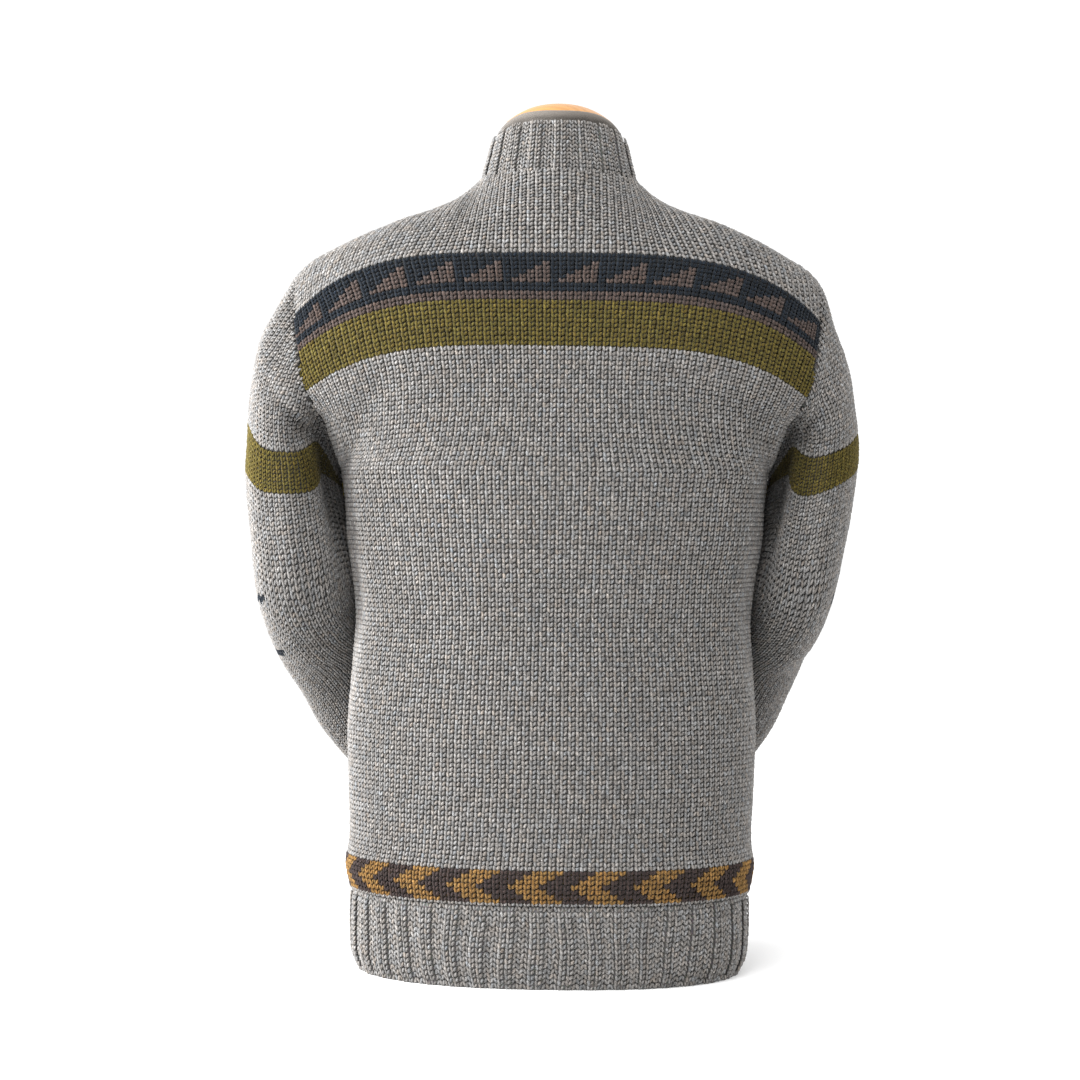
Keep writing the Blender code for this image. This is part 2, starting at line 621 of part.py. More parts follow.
def build_form(across, courses, back, front, normals):
    """One closed body: rings from the base up to the underarm, the yoke over the shoulders,
    a plate across each armhole and the neck."""
    kept = [courses.index(course) for course in FORM_COURSES]
    edge = step((np.abs(across) - 0.35) / 0.35)[None, :, None]
    at = np.array(FORM_COURSES, float)
    clear = smooth(FORM_ROWS, 1, at)[:, None, None] * (1 - edge)
    clear = clear + smooth(FORM_ROWS, 2, at)[:, None, None] * edge
    back_in = back[kept] - normals[0][kept] * clear
    front_in = front[kept] - normals[1][kept] * clear
    points, index = [], {}

    def number(point):
        place = tuple(np.round(point, 6))
        if place not in index:
            index[place] = len(points)
            points.append(point)
        return index[place]

    faces = []
    for grid, flip in ((back_in, False), (front_in, True)):
        rows, columns = grid.shape[:2]
        flat = [number(p) for p in grid.reshape(-1, 3)]
        for corners in grid_faces(rows, columns, 0, flip, False):
            faces.append([flat[c] for c in corners])

    def loop_round(ring_back, ring_front):
        return [number(p) for p in ring_back] + [number(p) for p in ring_front[-2:0:-1]]

    def bridge(low, high, flip=False):
        for k in range(len(low)):
            n = (k + 1) % len(low)
            quad = [low[k], low[n], high[n], high[k]]
            faces.append(quad[::-1] if flip else quad)

    lowest = loop_round(back_in[0], front_in[0])
    base_ring = np.array([points[k] for k in lowest])
    base_ring[:, 2] = 0.0
    base_ring[:, :2] *= 0.985
    base = [number(p) for p in base_ring]
    bridge(base, lowest)
    middle = number(np.array([0.0, 0.0, 0.0]))
    for k in range(len(base)):
        faces.append([base[(k + 1) % len(base)], base[k], middle])

    first = FORM_COURSES.index(UNDERARM_COURSE)
    for column, flip in ((0, False), (-1, True)):
        ring = [number(p) for p in back_in[first:, column]]
        ring += [number(p) for p in front_in[first:-1, column][::-1]][:-1]
        corners = np.array([points[k] for k in ring])
        centre = corners.mean(axis=0)
        out = np.array([-1 if column == 0 else 1, 0, 0])
        inner_ring = [number(p) for p in centre + (corners - centre) * 0.6 + 0.003 * out]
        hub = number(centre + 0.004 * out)
        bridge(ring, inner_ring, flip)
        for k in range(len(ring)):
            n = (k + 1) % len(ring)
            faces.append([inner_ring[k], inner_ring[n], hub][:: -1 if flip else 1])

    inner_columns = slice(HALF_COLUMNS - NECK_COLUMNS, HALF_COLUMNS + NECK_COLUMNS + 1)
    low = loop_round(back_in[-1, inner_columns], front_in[-1, inner_columns])
    around = np.array([points[k] for k in low])
    direction = np.arctan2(around[:, 1], around[:, 0])
    for height, radius, shift in NECK_ROWS:
        x, y = radius * np.cos(direction), shift + radius * np.sin(direction)
        high = [number(p) for p in np.stack([x, y, np.full_like(x, height)], axis=1)]
        bridge(low, high)
        low = high
    faces.append(low)
    add_object("form_body", points, faces, "form_cover")


def build_cap():
    """The turned wooden cap, its profile swept round by a Screw modifier."""
    curve = bpy.data.meshes.new("form_neck_cap")
    out = [math.sin(math.pi / 2 * k / CAP_STEPS) for k in range(CAP_STEPS + 1)]
    points = [(CAP_RADIUS * r, 0, CAP_BASE + CAP_HEIGHT * (1 - r**CAP_POWER)) for r in out]
    points.append((0, 0, CAP_BASE))
    edges = [(k, k + 1) for k in range(len(points) - 1)]
    curve.from_pydata(points, edges, [])
    curve.materials.append(bpy.data.materials["neck_cap_wood"])
    cap = bpy.data.objects.new("form_neck_cap", curve)
    cap.location = (0, CAP_SHIFT, 0)
    screw = cap.modifiers.new("turning", "SCREW")
    screw.steps = screw.render_steps = 32
    screw.use_merge_vertices = True
    screw.merge_threshold = 0.00005
    bpy.data.collections[COLLECTION].objects.link(cap)


def main():
    clear_scene()
    home = bpy.data.collections.new(COLLECTION)
    bpy.context.scene.collection.children.link(home)
    make_finishes()
    across, courses, stations, back, front, sleeves, normals = build_panels()
    build_body(across, courses, back, front, normals)
    build_hem()
    build_sleeves(stations, sleeves, normals)
    build_collar()
    build_form(across, courses, back, front, normals)
    build_cap()


main()
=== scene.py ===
"""Heavy wool mock-neck sweater on a limbless dress form, knitted stitch by stitch.

Each knitted piece is a thin backing sheet with yarn over it: every stitch is two spindles of
yarn, laid on a lattice of courses (rows) and wales (columns). The garment's back faces -Y.
"""

import math

import bpy
import numpy as np
from bpy.props import FloatProperty, FloatVectorProperty, IntProperty, PointerProperty
from mathutils import Matrix


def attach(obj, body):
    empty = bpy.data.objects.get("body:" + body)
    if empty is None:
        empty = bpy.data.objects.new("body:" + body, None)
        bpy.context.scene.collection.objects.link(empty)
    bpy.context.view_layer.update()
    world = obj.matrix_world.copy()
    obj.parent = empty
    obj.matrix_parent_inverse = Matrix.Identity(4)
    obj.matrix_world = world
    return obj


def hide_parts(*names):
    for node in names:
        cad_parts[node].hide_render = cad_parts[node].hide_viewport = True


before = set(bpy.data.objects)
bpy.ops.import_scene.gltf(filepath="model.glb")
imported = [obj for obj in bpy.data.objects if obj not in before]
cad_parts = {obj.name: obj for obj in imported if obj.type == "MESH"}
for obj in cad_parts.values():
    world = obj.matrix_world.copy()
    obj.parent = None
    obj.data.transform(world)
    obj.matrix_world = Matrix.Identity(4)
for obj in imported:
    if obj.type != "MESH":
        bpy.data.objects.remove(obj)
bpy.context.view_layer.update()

bl_info = {
    "name": "Knitted sweater on a dress form",
    "version": (1, 0, 0),
    "blender": (4, 5, 0),
    "location": "View3D > Sidebar > Sweater",
    "description": "Knits a wool sweater over its dress form and lights it in a white studio",
    "category": "Object",
}

YOKE_COURSE = 137
TOP_COURSE = 159
UNDERARM_COURSE = 90
HALF_COLUMNS = 12
NECK_COLUMNS = 5
ARMHOLE_COURSES = (90, 95, 100, 105, 110, 116, 122, 128, 134, 140, 146, 151, 155, 159)

# course, height at the centre, back depth, front depth, squareness
BODY_ROWS = (
    (0, 0.0680, 0.1175, 0.1150, 2.30),
    (5, 0.0885, 0.1200, 0.1170, 2.30),
    (10, 0.1065, 0.1180, 0.1155, 2.30),
    (22, 0.1530, 0.1175, 0.1150, 2.30),
    (36, 0.2060, 0.1165, 0.1130, 2.30),
    (50, 0.2620, 0.1125, 0.1090, 2.30),
    (58, 0.2935, 0.1095, 0.1070, 2.30),
    (66, 0.3250, 0.1100, 0.1085, 2.30),
    (76, 0.3645, 0.1125, 0.1140, 2.30),
    (84, 0.3960, 0.1145, 0.1180, 2.35),
    (90, 0.4195, 0.1160, 0.1200, 2.40),
    (104, 0.4745, 0.1180, 0.1220, 2.50),
    (116, 0.5204, 0.1165, 0.1200, 2.60),
    (126, 0.5575, 0.1120, 0.1140, 2.60),
    (137, 0.5957, 0.1040, 0.1010, 2.60),
)

# course, half width, back depth, front depth and height of a panel's edge
EDGE_ROWS = (
    (0, 0.1680, 0.0, 0.0, 0.0680),
    (5, 0.1715, 0.0, 0.0, 0.0885),
    (10, 0.1690, 0.0, 0.0, 0.1065),
    (22, 0.1700, 0.0, 0.0, 0.1530),
    (36, 0.1712, 0.0, 0.0, 0.2060),
    (50, 0.1675, 0.0, 0.0, 0.2620),
    (58, 0.1654, 0.0, 0.0, 0.2935),
    (66, 0.1680, 0.0, 0.0, 0.3250),
    (76, 0.1738, 0.0, 0.0, 0.3640),
    (84, 0.1765, 0.0, 0.0, 0.3950),
    (90, 0.1795, 0.0, 0.0, 0.4175),
    (96, 0.1840, 0.022, 0.024, 0.4320),
    (104, 0.1930, 0.046, 0.042, 0.4590),
    (110, 0.2000, 0.060, 0.052, 0.4700),
    (116, 0.2060, 0.066, 0.058, 0.4820),
    (126, 0.2140, 0.061, 0.060, 0.5135),
    (137, 0.2185, 0.038, 0.046, 0.5455),
)

# part of the way from the yoke course to the top edge, then how far the cloth has come
# forward and up there: beside the neck, and over the shoulder
YOKE_ROWS = (
    (0.00, 0.00, 0.00, 0.00, 0.00),
    (0.25, 0.12, 0.23, 0.09, 0.48),
    (0.50, 0.38, 0.51, 0.28, 0.79),
    (0.75, 0.74, 0.755, 0.58, 0.95),
    (1.00, 1.00, 1.00, 1.00, 1.00),
)

# distance from the centre and height along the shoulder seam
SHOULDER_ROWS = (
    (0.0635, 0.6665),
    (0.0735, 0.6555),
    (0.0900, 0.6430),
    (0.1200, 0.6290),
    (0.1530, 0.6165),
    (0.1860, 0.6020),
    (0.2050, 0.5925),
    (0.2175, 0.5830),
)
SHOULDER_Y = 0.004
NECK_BACK = (-0.0605, 0.6675)
NECK_FRONT = (0.0620, 0.6480)

# height, half width, back depth and front depth of the hem rib
HEM_ROWS = (
    (0.0025, 0.1608, 0.1130, 0.1105),
    (0.0120, 0.1645, 0.1155, 0.1130),
    (0.0300, 0.1665, 0.1172, 0.1147),
    (0.0500, 0.1668, 0.1175, 0.1150),
    (0.0677, 0.1664, 0.1168, 0.1142),
)
HEM_SQUARENESS = 2.3

# way up the collar, half width, back depth and front depth
COLLAR_ROWS = (
    (0.00, 0.0632, 0.0600, 0.0612),
    (0.25, 0.0612, 0.0583, 0.0598),
    (0.55, 0.0586, 0.0555, 0.0583),
    (0.80, 0.0566, 0.0535, 0.0570),
    (1.00, 0.0543, 0.0515, 0.0552),
)
# height of the collar's seam and of its upper edge at the back, the side and the front
COLLAR_SEAM = (0.6679, 0.6669, 0.6484)
COLLAR_EDGE = (0.7095, 0.6980, 0.6850)
LINING_EDGE = (0.7169, 0.7003, 0.6875)
# the jersey is rolled outwards over the knitted rim: way up, and how far its outer and
# inner sides stand inside the knit's outer side
LINING_ROLL = (
    (0.08, 0.0048, 0.0063), (0.30, 0.0048, 0.0063), (0.55, 0.0048, 0.0063), (0.76, 0.0048, 0.0063),
    (0.84, 0.0044, 0.0063), (0.88, 0.0026, 0.0062), (0.92, 0.0010, 0.0060), (0.96, 0.0008, 0.0057),
    (0.985, 0.0014, 0.0051), (1.00, 0.0027, 0.0040),
)

# course, place across the panel, depth, half length in courses, half width across, slant
BACK_FOLDS = (
    (98, -0.80, 0.0035, 14, 0.09, 0.010),
    (100, 0.82, 0.0030, 15, 0.09, -0.010),
    (66, -0.86, 0.0022, 24, 0.07, 0.002),
    (62, 0.86, 0.0022, 22, 0.07, -0.002),
    (30, -0.74, 0.0015, 20, 0.10, 0.001),
    (28, 0.70, 0.0016, 22, 0.09, -0.001),
)
FRONT_FOLDS = (
    (94, -0.76, 0.0020, 15, 0.11, 0.008),
    (95, 0.78, 0.0020, 15, 0.11, -0.008),
    (60, -0.70, 0.0018, 24, 0.10, 0.002),
    (58, 0.72, 0.0018, 24, 0.10, -0.002),
)

# distance out to the inner and the outer side, centre y and height, rise of the outer
# side in degrees, half depth, and how much farther out the left sleeve reaches than the
# right one
SLEEVE_ROWS = (
    (0.1795, 0.2175, 0.0000, 0.5000, 77.0, 0.0640, 0.000),
    (0.1812, 0.2242, 0.0000, 0.4916, 74.4, 0.0660, 0.001),
    (0.1812, 0.2335, 0.0000, 0.4798, 68.8, 0.0680, 0.005),
    (0.1810, 0.2440, 0.0000, 0.4677, 61.3, 0.0690, 0.008),
    (0.1808, 0.2512, 0.0000, 0.4534, 52.0, 0.0690, 0.007),
    (0.1798, 0.2558, 0.0000, 0.4367, 38.6, 0.0685, 0.006),
    (0.1783, 0.2566, 0.0005, 0.4182, 31.7, 0.0675, 0.005),
    (0.1766, 0.2560, 0.0015, 0.3945, 25.4, 0.0655, 0.007),
    (0.1741, 0.2526, 0.0040, 0.3650, 18.0, 0.0630, 0.010),
    (0.1705, 0.2472, 0.0120, 0.3330, 8.0, 0.0590, 0.013),
    (0.1665, 0.2400, 0.0340, 0.3030, -6.0, 0.0515, 0.017),
    (0.1585, 0.2285, 0.0640, 0.2755, -20.0, 0.0445, 0.018),
    (0.1485, 0.2143, 0.0900, 0.2440, -27.0, 0.0405, 0.013),
    (0.1345, 0.1995, 0.1110, 0.2130, -30.0, 0.0385, 0.009),
    (0.1140, 0.1760, 0.1280, 0.1800, -33.0, 0.0360, 0.004),
    (0.0893, 0.1467, 0.1380, 0.1420, -35.0, 0.0330, 0.000),
    (0.0672, 0.1228, 0.1435, 0.1090, -35.0, 0.0315, 0.000),
    (0.0506, 0.1054, 0.1465, 0.0850, -35.0, 0.0310, 0.000),
)
CUFF_START = 14.85
CUFF_END = 17.0

# station, angle round from the underarm over the back, depth, rise, half length in
# stations and half width in degrees of a sleeve's folds
SLEEVE_FOLDS = (
    (3.6, 46, 0.0150, 0.014, 2.6, 30),
    (8.6, 70, 0.0030, 0.000, 2.2, 26),
    (10.4, 285, 0.0060, 0.000, 0.7, 42),
    (11.6, 290, 0.0050, 0.000, 0.6, 36),
    (9.4, 300, 0.0045, 0.000, 0.6, 34),
    (12.9, 130, 0.0026, 0.000, 0.9, 36),
    (3.9, 76, 0.0120, 0.000, 0.9, 18),
    (6.2, 28, 0.0130, 0.000, 2.4, 20),
)
# for each side: angle round, half width in degrees, and the stations by which the top and
# the bottom of the sleeve's band sag below level there
SLEEVE_SAG = {
    -1: ((180, 40, 0.30, 0.20), (117, 34, 0.80, 0.45), (12, 42, -1.60, -1.30)),
    1: ((180, 45, 0.35, -0.20), (115, 35, 0.45, 0.00), (12, 42, -1.40, -1.50)),
}
# side, height and least distance out of the navy stitches that show at a sleeve's edge
SLEEVE_MARKS = ((-1, 0.3090, 0.2420), (-1, 0.2600, 0.2290), (1, 0.3150, 0.2330))

# course, wales from a panel's centre to its edge, crowding towards the edge
WALE_ROWS = (
    (0, 40.0, 0.09),
    (8, 40.0, 0.09),
    (24, 40.0, 0.07),
    (90, 40.0, 0.07),
    (104, 38.4, 0.02),
    (116, 37.0, -0.02),
    (126, 36.3, -0.04),
    (137, 35.8, -0.04),
)
# courses of the panels' bands, from the first one up to the one after the last
CHEVRON_BAND = (1, 8)
OLIVE_BAND = (116, 126)
THIN_STRIPE = (126, 128)
MOTIF_BAND = (128, YOKE_COURSE)
# wales by which the middle of the chevron band hangs to the left
BAND_SWAY = 0.5
# courses by which the chevron band hangs low
BAND_DROP = 0.6
# wales from a panel's middle to its side seam, and to the collar's seam
PANEL_WALES = 40
NECK_WALES = 14.5
# a sleeve's olive band ends at this station and is this many courses high
BAND_STATION = 5
BAND_COURSES = 10
# wales from a sleeve's middle to its seam, at the cuff and from the band up
SLEEVE_WALES = (22, 32)
HEM_COURSES = 16
CUFF_COURSES = 16
CUFF_WALES = 40
COLLAR_COURSES = 13
COLLAR_WALES = 72
COURSE_PITCH = 0.00395
SLEEVE_PITCH = 0.0036
# half courses that the longest wale may have above the yoke's bands and a sleeve's band
YOKE_STEPS = 91
SLEEVE_STEPS = 111
# spaces between the points of a fine grid, across a panel or round a sleeve
FINE = 240
DEGREES = 360 / FINE
# points that a seam, a row of cloth and the way up from a band are first drawn through
SEAM_POINTS = 120
ROW_POINTS = 160
RISE_POINTS = 61

# the turned neck cap, a low dome that falls faster and faster towards its rim
CAP_BASE = 0.7123
CAP_RADIUS = 0.0447
CAP_HEIGHT = 0.0157
CAP_POWER = 2.4
CAP_SHIFT = 0.0010

# Legs of yarn: wales across and courses up from the stitch's centre, and lift in
# millimetres, at the two tips and at the two rings between them. A knit stitch's left leg
# is long and steep and its right leg short and slanted, as the yarn's twist turns them.
KNIT_LEFT = ((-0.10, -0.90, -0.4), (-0.17, -0.40, 0.45), (-0.28, 0.24, 0.20), (-0.36, 0.74, -0.9))
KNIT_RIGHT = ((0.00, -0.66, -0.8), (0.12, -0.28, 0.35), (0.31, 0.18, 0.10), (0.46, 0.58, -1.1))
# A purl stitch's left leg lies across the wale and rises to its middle; the right mirrors it.
PURL_LEFT = ((-0.54, -0.70, -0.4), (-0.38, -0.32, 0.3), (-0.13, 0.34, 0.3), (0.03, 0.68, -0.4))
# sides of a leg, and its rise over its centreline in metres
SIDES = 3
YARN_RISE = 0.00078
SHEET_THICKNESS = 0.0010
# painted shade: the sheets show only between the stitches and are darkened by this share against the
# yarn over them
GAP_SHADE = 0.70

# the view's focal length, its frame's width and how far under the level its middle looks,
# in pixels, its roll in radians, and the camera's place across in metres
FOCAL_PIXELS = 2840
FRAME_PIXELS = 1080
PITCH_PIXELS = 70
ROLL = 0.0133
CAMERA_X = -0.0120


def to_linear(code):
    """A colour's sRGB hex code as linear red, green and blue."""
    parts = np.array([int(code[k : k + 2], 16) for k in (1, 3, 5)]) / 255
    return tuple(np.where(parts <= 0.04045, parts / 12.92, ((parts + 0.055) / 1.055) ** 2.4))


def smooth(rows, column, at):
    """A smooth curve through one column of a table, read against its first column."""
    table = np.array(rows)
    x, y = table[:, 0], table[:, column]
    at = np.asarray(at, float)
    slope = np.gradient(y, x)
    k = np.clip(np.searchsorted(x, at, side="right") - 1, 0, len(x) - 2)
    width = x[k + 1] - x[k]
    s = np.clip((at - x[k]) / width, 0, 1)
    rise = (2 * s**3 - 3 * s**2 + 1) * y[k] + (3 * s**2 - 2 * s**3) * y[k + 1]
    bend = (s**3 - 2 * s**2 + s) * slope[k] + (s**3 - s**2) * slope[k + 1]
    return rise + width * bend


def step(x):
    """0 to 1 with level ends."""
    x = np.clip(x, 0, 1)
    return x * x * (3 - 2 * x)


def unit(vectors):
    """The vectors at length one."""
    return vectors / np.linalg.norm(vectors, axis=-1, keepdims=True)


def lengths(points):
    """How far along a polyline each of its points lies."""
    return np.concatenate([[0], np.cumsum(np.linalg.norm(np.diff(points, axis=0), axis=1))])


def along(points, shares):
    """The points at these shares of a polyline's length."""
    length = lengths(points)
    at = shares * length[-1]
    return np.stack([np.interp(at, length, points[:, k]) for k in range(3)], axis=1)


def shoulder_seam(shares):
    """The seam from the collar out to the shoulder point."""
    x = np.linspace(SHOULDER_ROWS[0][0], SHOULDER_ROWS[-1][0], SEAM_POINTS)
    seam = np.stack([x, np.full_like(x, SHOULDER_Y), smooth(SHOULDER_ROWS, 1, x)], axis=1)
    return along(seam, shares)


def neckline(shares, centre):
    """A panel's quarter of the collar seam, from its centre round to the shoulder seam."""
    half, top = SHOULDER_ROWS[0]
    angle = np.linspace(0, math.pi / 2, SEAM_POINTS)
    x = half * np.sin(angle)
    y = SHOULDER_Y + (centre[0] - SHOULDER_Y) * np.cos(angle)
    z = centre[1] + (top - centre[1]) * np.sin(angle) ** 2
    return along(np.stack([x, y, z], axis=1), shares)


def panel(courses, across, back):
    """Points of the back or front panel. Up to the yoke course a row is a superellipse's
    half, |x/w|^n + |y/d|^n = 1, that droops towards its ends; above it each point moves in
    eased steps to the shoulder seam and the neckline. Columns are even along a row."""
    courses = np.asarray(courses, float)
    across = np.asarray(across, float)
    sign, depth, centre = (-1, 2, NECK_BACK) if back else (1, 3, NECK_FRONT)
    low = np.minimum(courses, YOKE_COURSE)
    height = smooth(BODY_ROWS, 1, low)
    middle = smooth(BODY_ROWS, depth, low)
    square = smooth(BODY_ROWS, 4, low)
    side_x = smooth(EDGE_ROWS, 1, low)
    side_y = np.where(low > UNDERARM_COURSE, smooth(EDGE_ROWS, depth, low), 0)
    side_z = smooth(EDGE_ROWS, 4, low)
    share = np.linspace(0, 1, ROW_POINTS)
    turn = np.arccos(np.clip(side_y / middle, 0, 1) ** (square / 2))
    wide = side_x / np.sin(turn) ** (2 / square)
    tables = zip(turn, wide, middle, square, side_x, side_z, height)
    whole = np.empty((len(courses), len(across), 3))
    t = np.abs(across)
    for row, (angle, reach, deep, power, x_end, z_end, z_mid) in enumerate(tables):
        x = reach * np.sin(angle * share) ** (2 / power)
        y = sign * deep * np.cos(angle * share) ** (2 / power)
        z = z_mid + (z_end - z_mid) * (x / x_end) ** 4
        whole[row] = along(np.stack([x, y, z], axis=1), t)
    split = NECK_COLUMNS / HALF_COLUMNS
    top = np.where(
        (t < split)[:, None],
        neckline(np.clip(t / split, 0, 1), centre),
        shoulder_seam(np.clip((t - split) / (1 - split), 0, 1)),
    )
    above = np.clip((courses - YOKE_COURSE) / (TOP_COURSE - YOKE_COURSE), 0, 1)[:, None]
    outer = step((t - split * 0.8) / (split * 0.8))[None, :]
    forward = smooth(YOKE_ROWS, 1, above) * (1 - outer) + smooth(YOKE_ROWS, 3, above) * outer
    up = smooth(YOKE_ROWS, 2, above) * (1 - outer) + smooth(YOKE_ROWS, 4, above) * outer
    shares = np.stack([above * np.ones_like(outer), forward, up], axis=2)
    whole += shares * (top[None] - whole)
    whole[:, :, 0] *= np.where(across < 0, -1, 1)[None]
    return whole


def fold_depth(courses, across, folds):
    """How deep the soft troughs are: a sum of narrow bells less half as high wide ones."""
    c, t = np.meshgrid(courses, across, indexing="ij")
    total = np.zeros(c.shape)
    for course, place, depth, half_length, half_width, slant in folds:
        down = ((c - course) / half_length) ** 2
        over = ((t - place - slant * (c - course)) / half_width) ** 2
        total += depth * np.exp(-down) * (1.5 * np.exp(-over) - 0.5 * np.exp(-over / 4))
    return total * step((1 - np.abs(t)) / 0.06)


def armhole(side):
    """The closed edge that a sleeve is sewn to, from the underarm up the back, over the
    shoulder and down the front."""
    back = panel(ARMHOLE_COURSES, [side], True)[:, 0]
    front = panel(ARMHOLE_COURSES, [side], False)[:, 0]
    return np.concatenate([back, front[-2::-1]])


def sleeve(stations, side, ring):
    """Rings of a sleeve: each is an oval round its station's centre, and the first ones
    take over the armhole's own shape. The folds press it in with bells round their places."""
    sewn = armhole(side)
    length = lengths(sewn)
    half = len(ARMHOLE_COURSES) - 1
    own = np.concatenate([
        math.pi * length[: half + 1] / length[half],
        math.pi + math.pi * (length[half + 1 :] - length[half]) / (length[-1] - length[half]),
    ])
    angle = np.asarray(ring, float)
    stations = np.asarray(stations, float)
    rows = np.column_stack([np.arange(len(SLEEVE_ROWS)), SLEEVE_ROWS])

    def read(column, at):
        return smooth(rows, column, at)

    def centre(at):
        outer = read(2, at) - 0.5 * side * read(7, at)
        inner = read(1, at)
        middle = np.stack([side * (inner + outer) / 2, read(3, at), read(4, at)], axis=-1)
        return middle, (outer - inner) / 2

    def ovals(at, angles):
        lean = np.radians(read(5, at))
        middle, half_width = centre(at)
        ahead = centre(at + 0.05)[0] - centre(at - 0.05)[0]
        ahead[..., 0] *= side
        ahead = unit(ahead)
        out = np.stack([np.cos(lean), np.zeros_like(lean), np.sin(lean)], axis=-1)
        rise = np.stack([-np.sin(lean), np.zeros_like(lean), np.cos(lean)], axis=-1)
        fall = np.arctan2(ahead[..., 1], np.maximum(0.3, -np.sum(rise * ahead, axis=-1)))
        fall = -fall * step((at - 7) / 3)
        back = rise * np.sin(fall)[..., None]
        back[..., 1] -= np.cos(fall)
        out[..., 0] *= side
        back[..., 0] *= side
        u, v = -np.cos(angles), np.sin(angles)
        return (
            middle[:, None]
            + out[:, None] * ((half_width / np.cos(lean))[:, None] * u)[..., None]
            + back[:, None] * (read(6, at)[:, None] * v)[..., None]
        )

    rings = ovals(stations, angle[None])
    left = sewn - ovals(np.zeros(1), own[None])[0]
    left = np.stack([np.interp(angle, own, left[:, k]) for k in range(3)], axis=1)
    rings = rings + left[None] * (1 - step(stations / 5.5))[:, None, None]
    inward = unit(rings.mean(axis=1, keepdims=True) - rings)
    for place, turn, depth, lift, half_length, half_turn in SLEEVE_FOLDS:
        off = np.abs((np.degrees(angle) - turn + 180) % 360 - 180) / half_turn
        near = np.exp(-(((stations - place) / half_length) ** 2)) * step(stations / 1.2)
        weight = np.exp(-(off**2))[None] * near[:, None]
        rings = rings + inward * (depth * weight)[..., None]
        rings[..., 2] += lift * weight
    return rings


def hem_half(levels, across, back):
    """Half of the hem rib: superellipse halves at these heights, even along each row."""
    half = smooth(HEM_ROWS, 1, levels)
    deep = smooth(HEM_ROWS, 2 if back else 3, levels)
    share = np.linspace(0, math.pi / 2, ROW_POINTS)
    rings = np.empty((len(levels), len(across), 3))
    for row, z in enumerate(levels):
        x = half[row] * np.sin(share) ** (2 / HEM_SQUARENESS)
        y = deep[row] * np.cos(share) ** (2 / HEM_SQUARENESS)
        rings[row] = along(np.stack([x, y, np.full_like(x, z)], axis=1), np.abs(across))
    rings[:, :, 0] *= np.where(across < 0, -1, 1)[None]
    rings[:, :, 1] *= -1 if back else 1
    return rings


def collar_ring(up, angle, inset, edge):
    """Rings of the collar or of its lining at these shares of its height. The width is read
    at each point's own height, so that the lining stays inside the collar."""
    side, deep = -np.cos(angle), -np.sin(angle)
    up = np.asarray(up, float)[:, None]

    def height(levels, share):
        at_back, at_side, at_front = levels
        return at_side + np.where(deep < 0, at_back - at_side, at_front - at_side) * share

    low = height(COLLAR_SEAM, deep**2)
    slope = step(np.abs(deep))
    z = low + (height(edge, slope) - low) * up
    way = np.clip((z - low) / (height(COLLAR_EDGE, slope) - low), 0, 1)
    half, back, front = (smooth(COLLAR_ROWS, k, way) - inset for k in (1, 2, 3))
    x = half * side
    y = np.where(deep < 0, back, front) * deep + SHOULDER_Y * (1 - np.abs(deep))
    return np.stack([x, y, z], axis=2)


def read_grid(grid, row, column):
    """Points of a grid at fractional rows and columns: straight lines between its points,
    and straight on past its edges."""
    r = np.clip(np.floor(row), 0, grid.shape[0] - 2).astype(int)
    c = np.clip(np.floor(column), 0, grid.shape[1] - 2).astype(int)
    over, up = (column - c)[..., None], (row - r)[..., None]
    low = grid[r, c] * (1 - over) + grid[r, c + 1] * over
    high = grid[r + 1, c] * (1 - over) + grid[r + 1, c + 1] * over
    return low * (1 - up) + high * up


def grid_normals(grid, facing):
    """Outward unit normals of a grid, from the directions along its rows and columns."""
    normals = np.cross(np.gradient(grid, axis=1), np.gradient(grid, axis=0)) * facing
    size = np.linalg.norm(normals, axis=2, keepdims=True)
    return normals / np.maximum(size, 1e-12)


def paced(lines, pace, count):
    """Each column of a grid read at even steps of its length, and straight on past its end,
    with the number of steps that each column holds."""
    piece = np.linalg.norm(np.diff(lines, axis=0), axis=2)
    length = np.concatenate([np.zeros((1, piece.shape[1])), np.cumsum(piece, axis=0)])
    at = np.arange(count) * pace
    found = np.empty((count, lines.shape[1], 3))
    for column in range(lines.shape[1]):
        for axis in range(3):
            found[:, column, axis] = np.interp(at, length[:, column], lines[:, column, axis])
    beyond = np.maximum(0, at[:, None] - length[-1][None])
    return found + unit(lines[-1] - lines[-3])[None] * beyond[..., None], length[-1] / pace


def evened(rings):
    """Closed rings with their points set even along each ring's length."""
    shares = np.linspace(0, 1, rings.shape[1])
    return np.stack([along(ring, shares) for ring in rings])


def undulation(rows, wales, seed, size):
    """Soft unevenness of hand-shaped cloth, in metres: a sum of four sine waves."""
    dice = np.random.default_rng(seed)
    total = 0
    for _ in range(4):
        turn = dice.uniform(0, 2 * math.pi)
        reach = dice.uniform(14, 34)
        phase = dice.uniform(0, 2 * math.pi)
        total = total + np.sin((np.cos(turn) * rows + np.sin(turn) * wales) / reach * 6.28 + phase)
    return total * size / 4


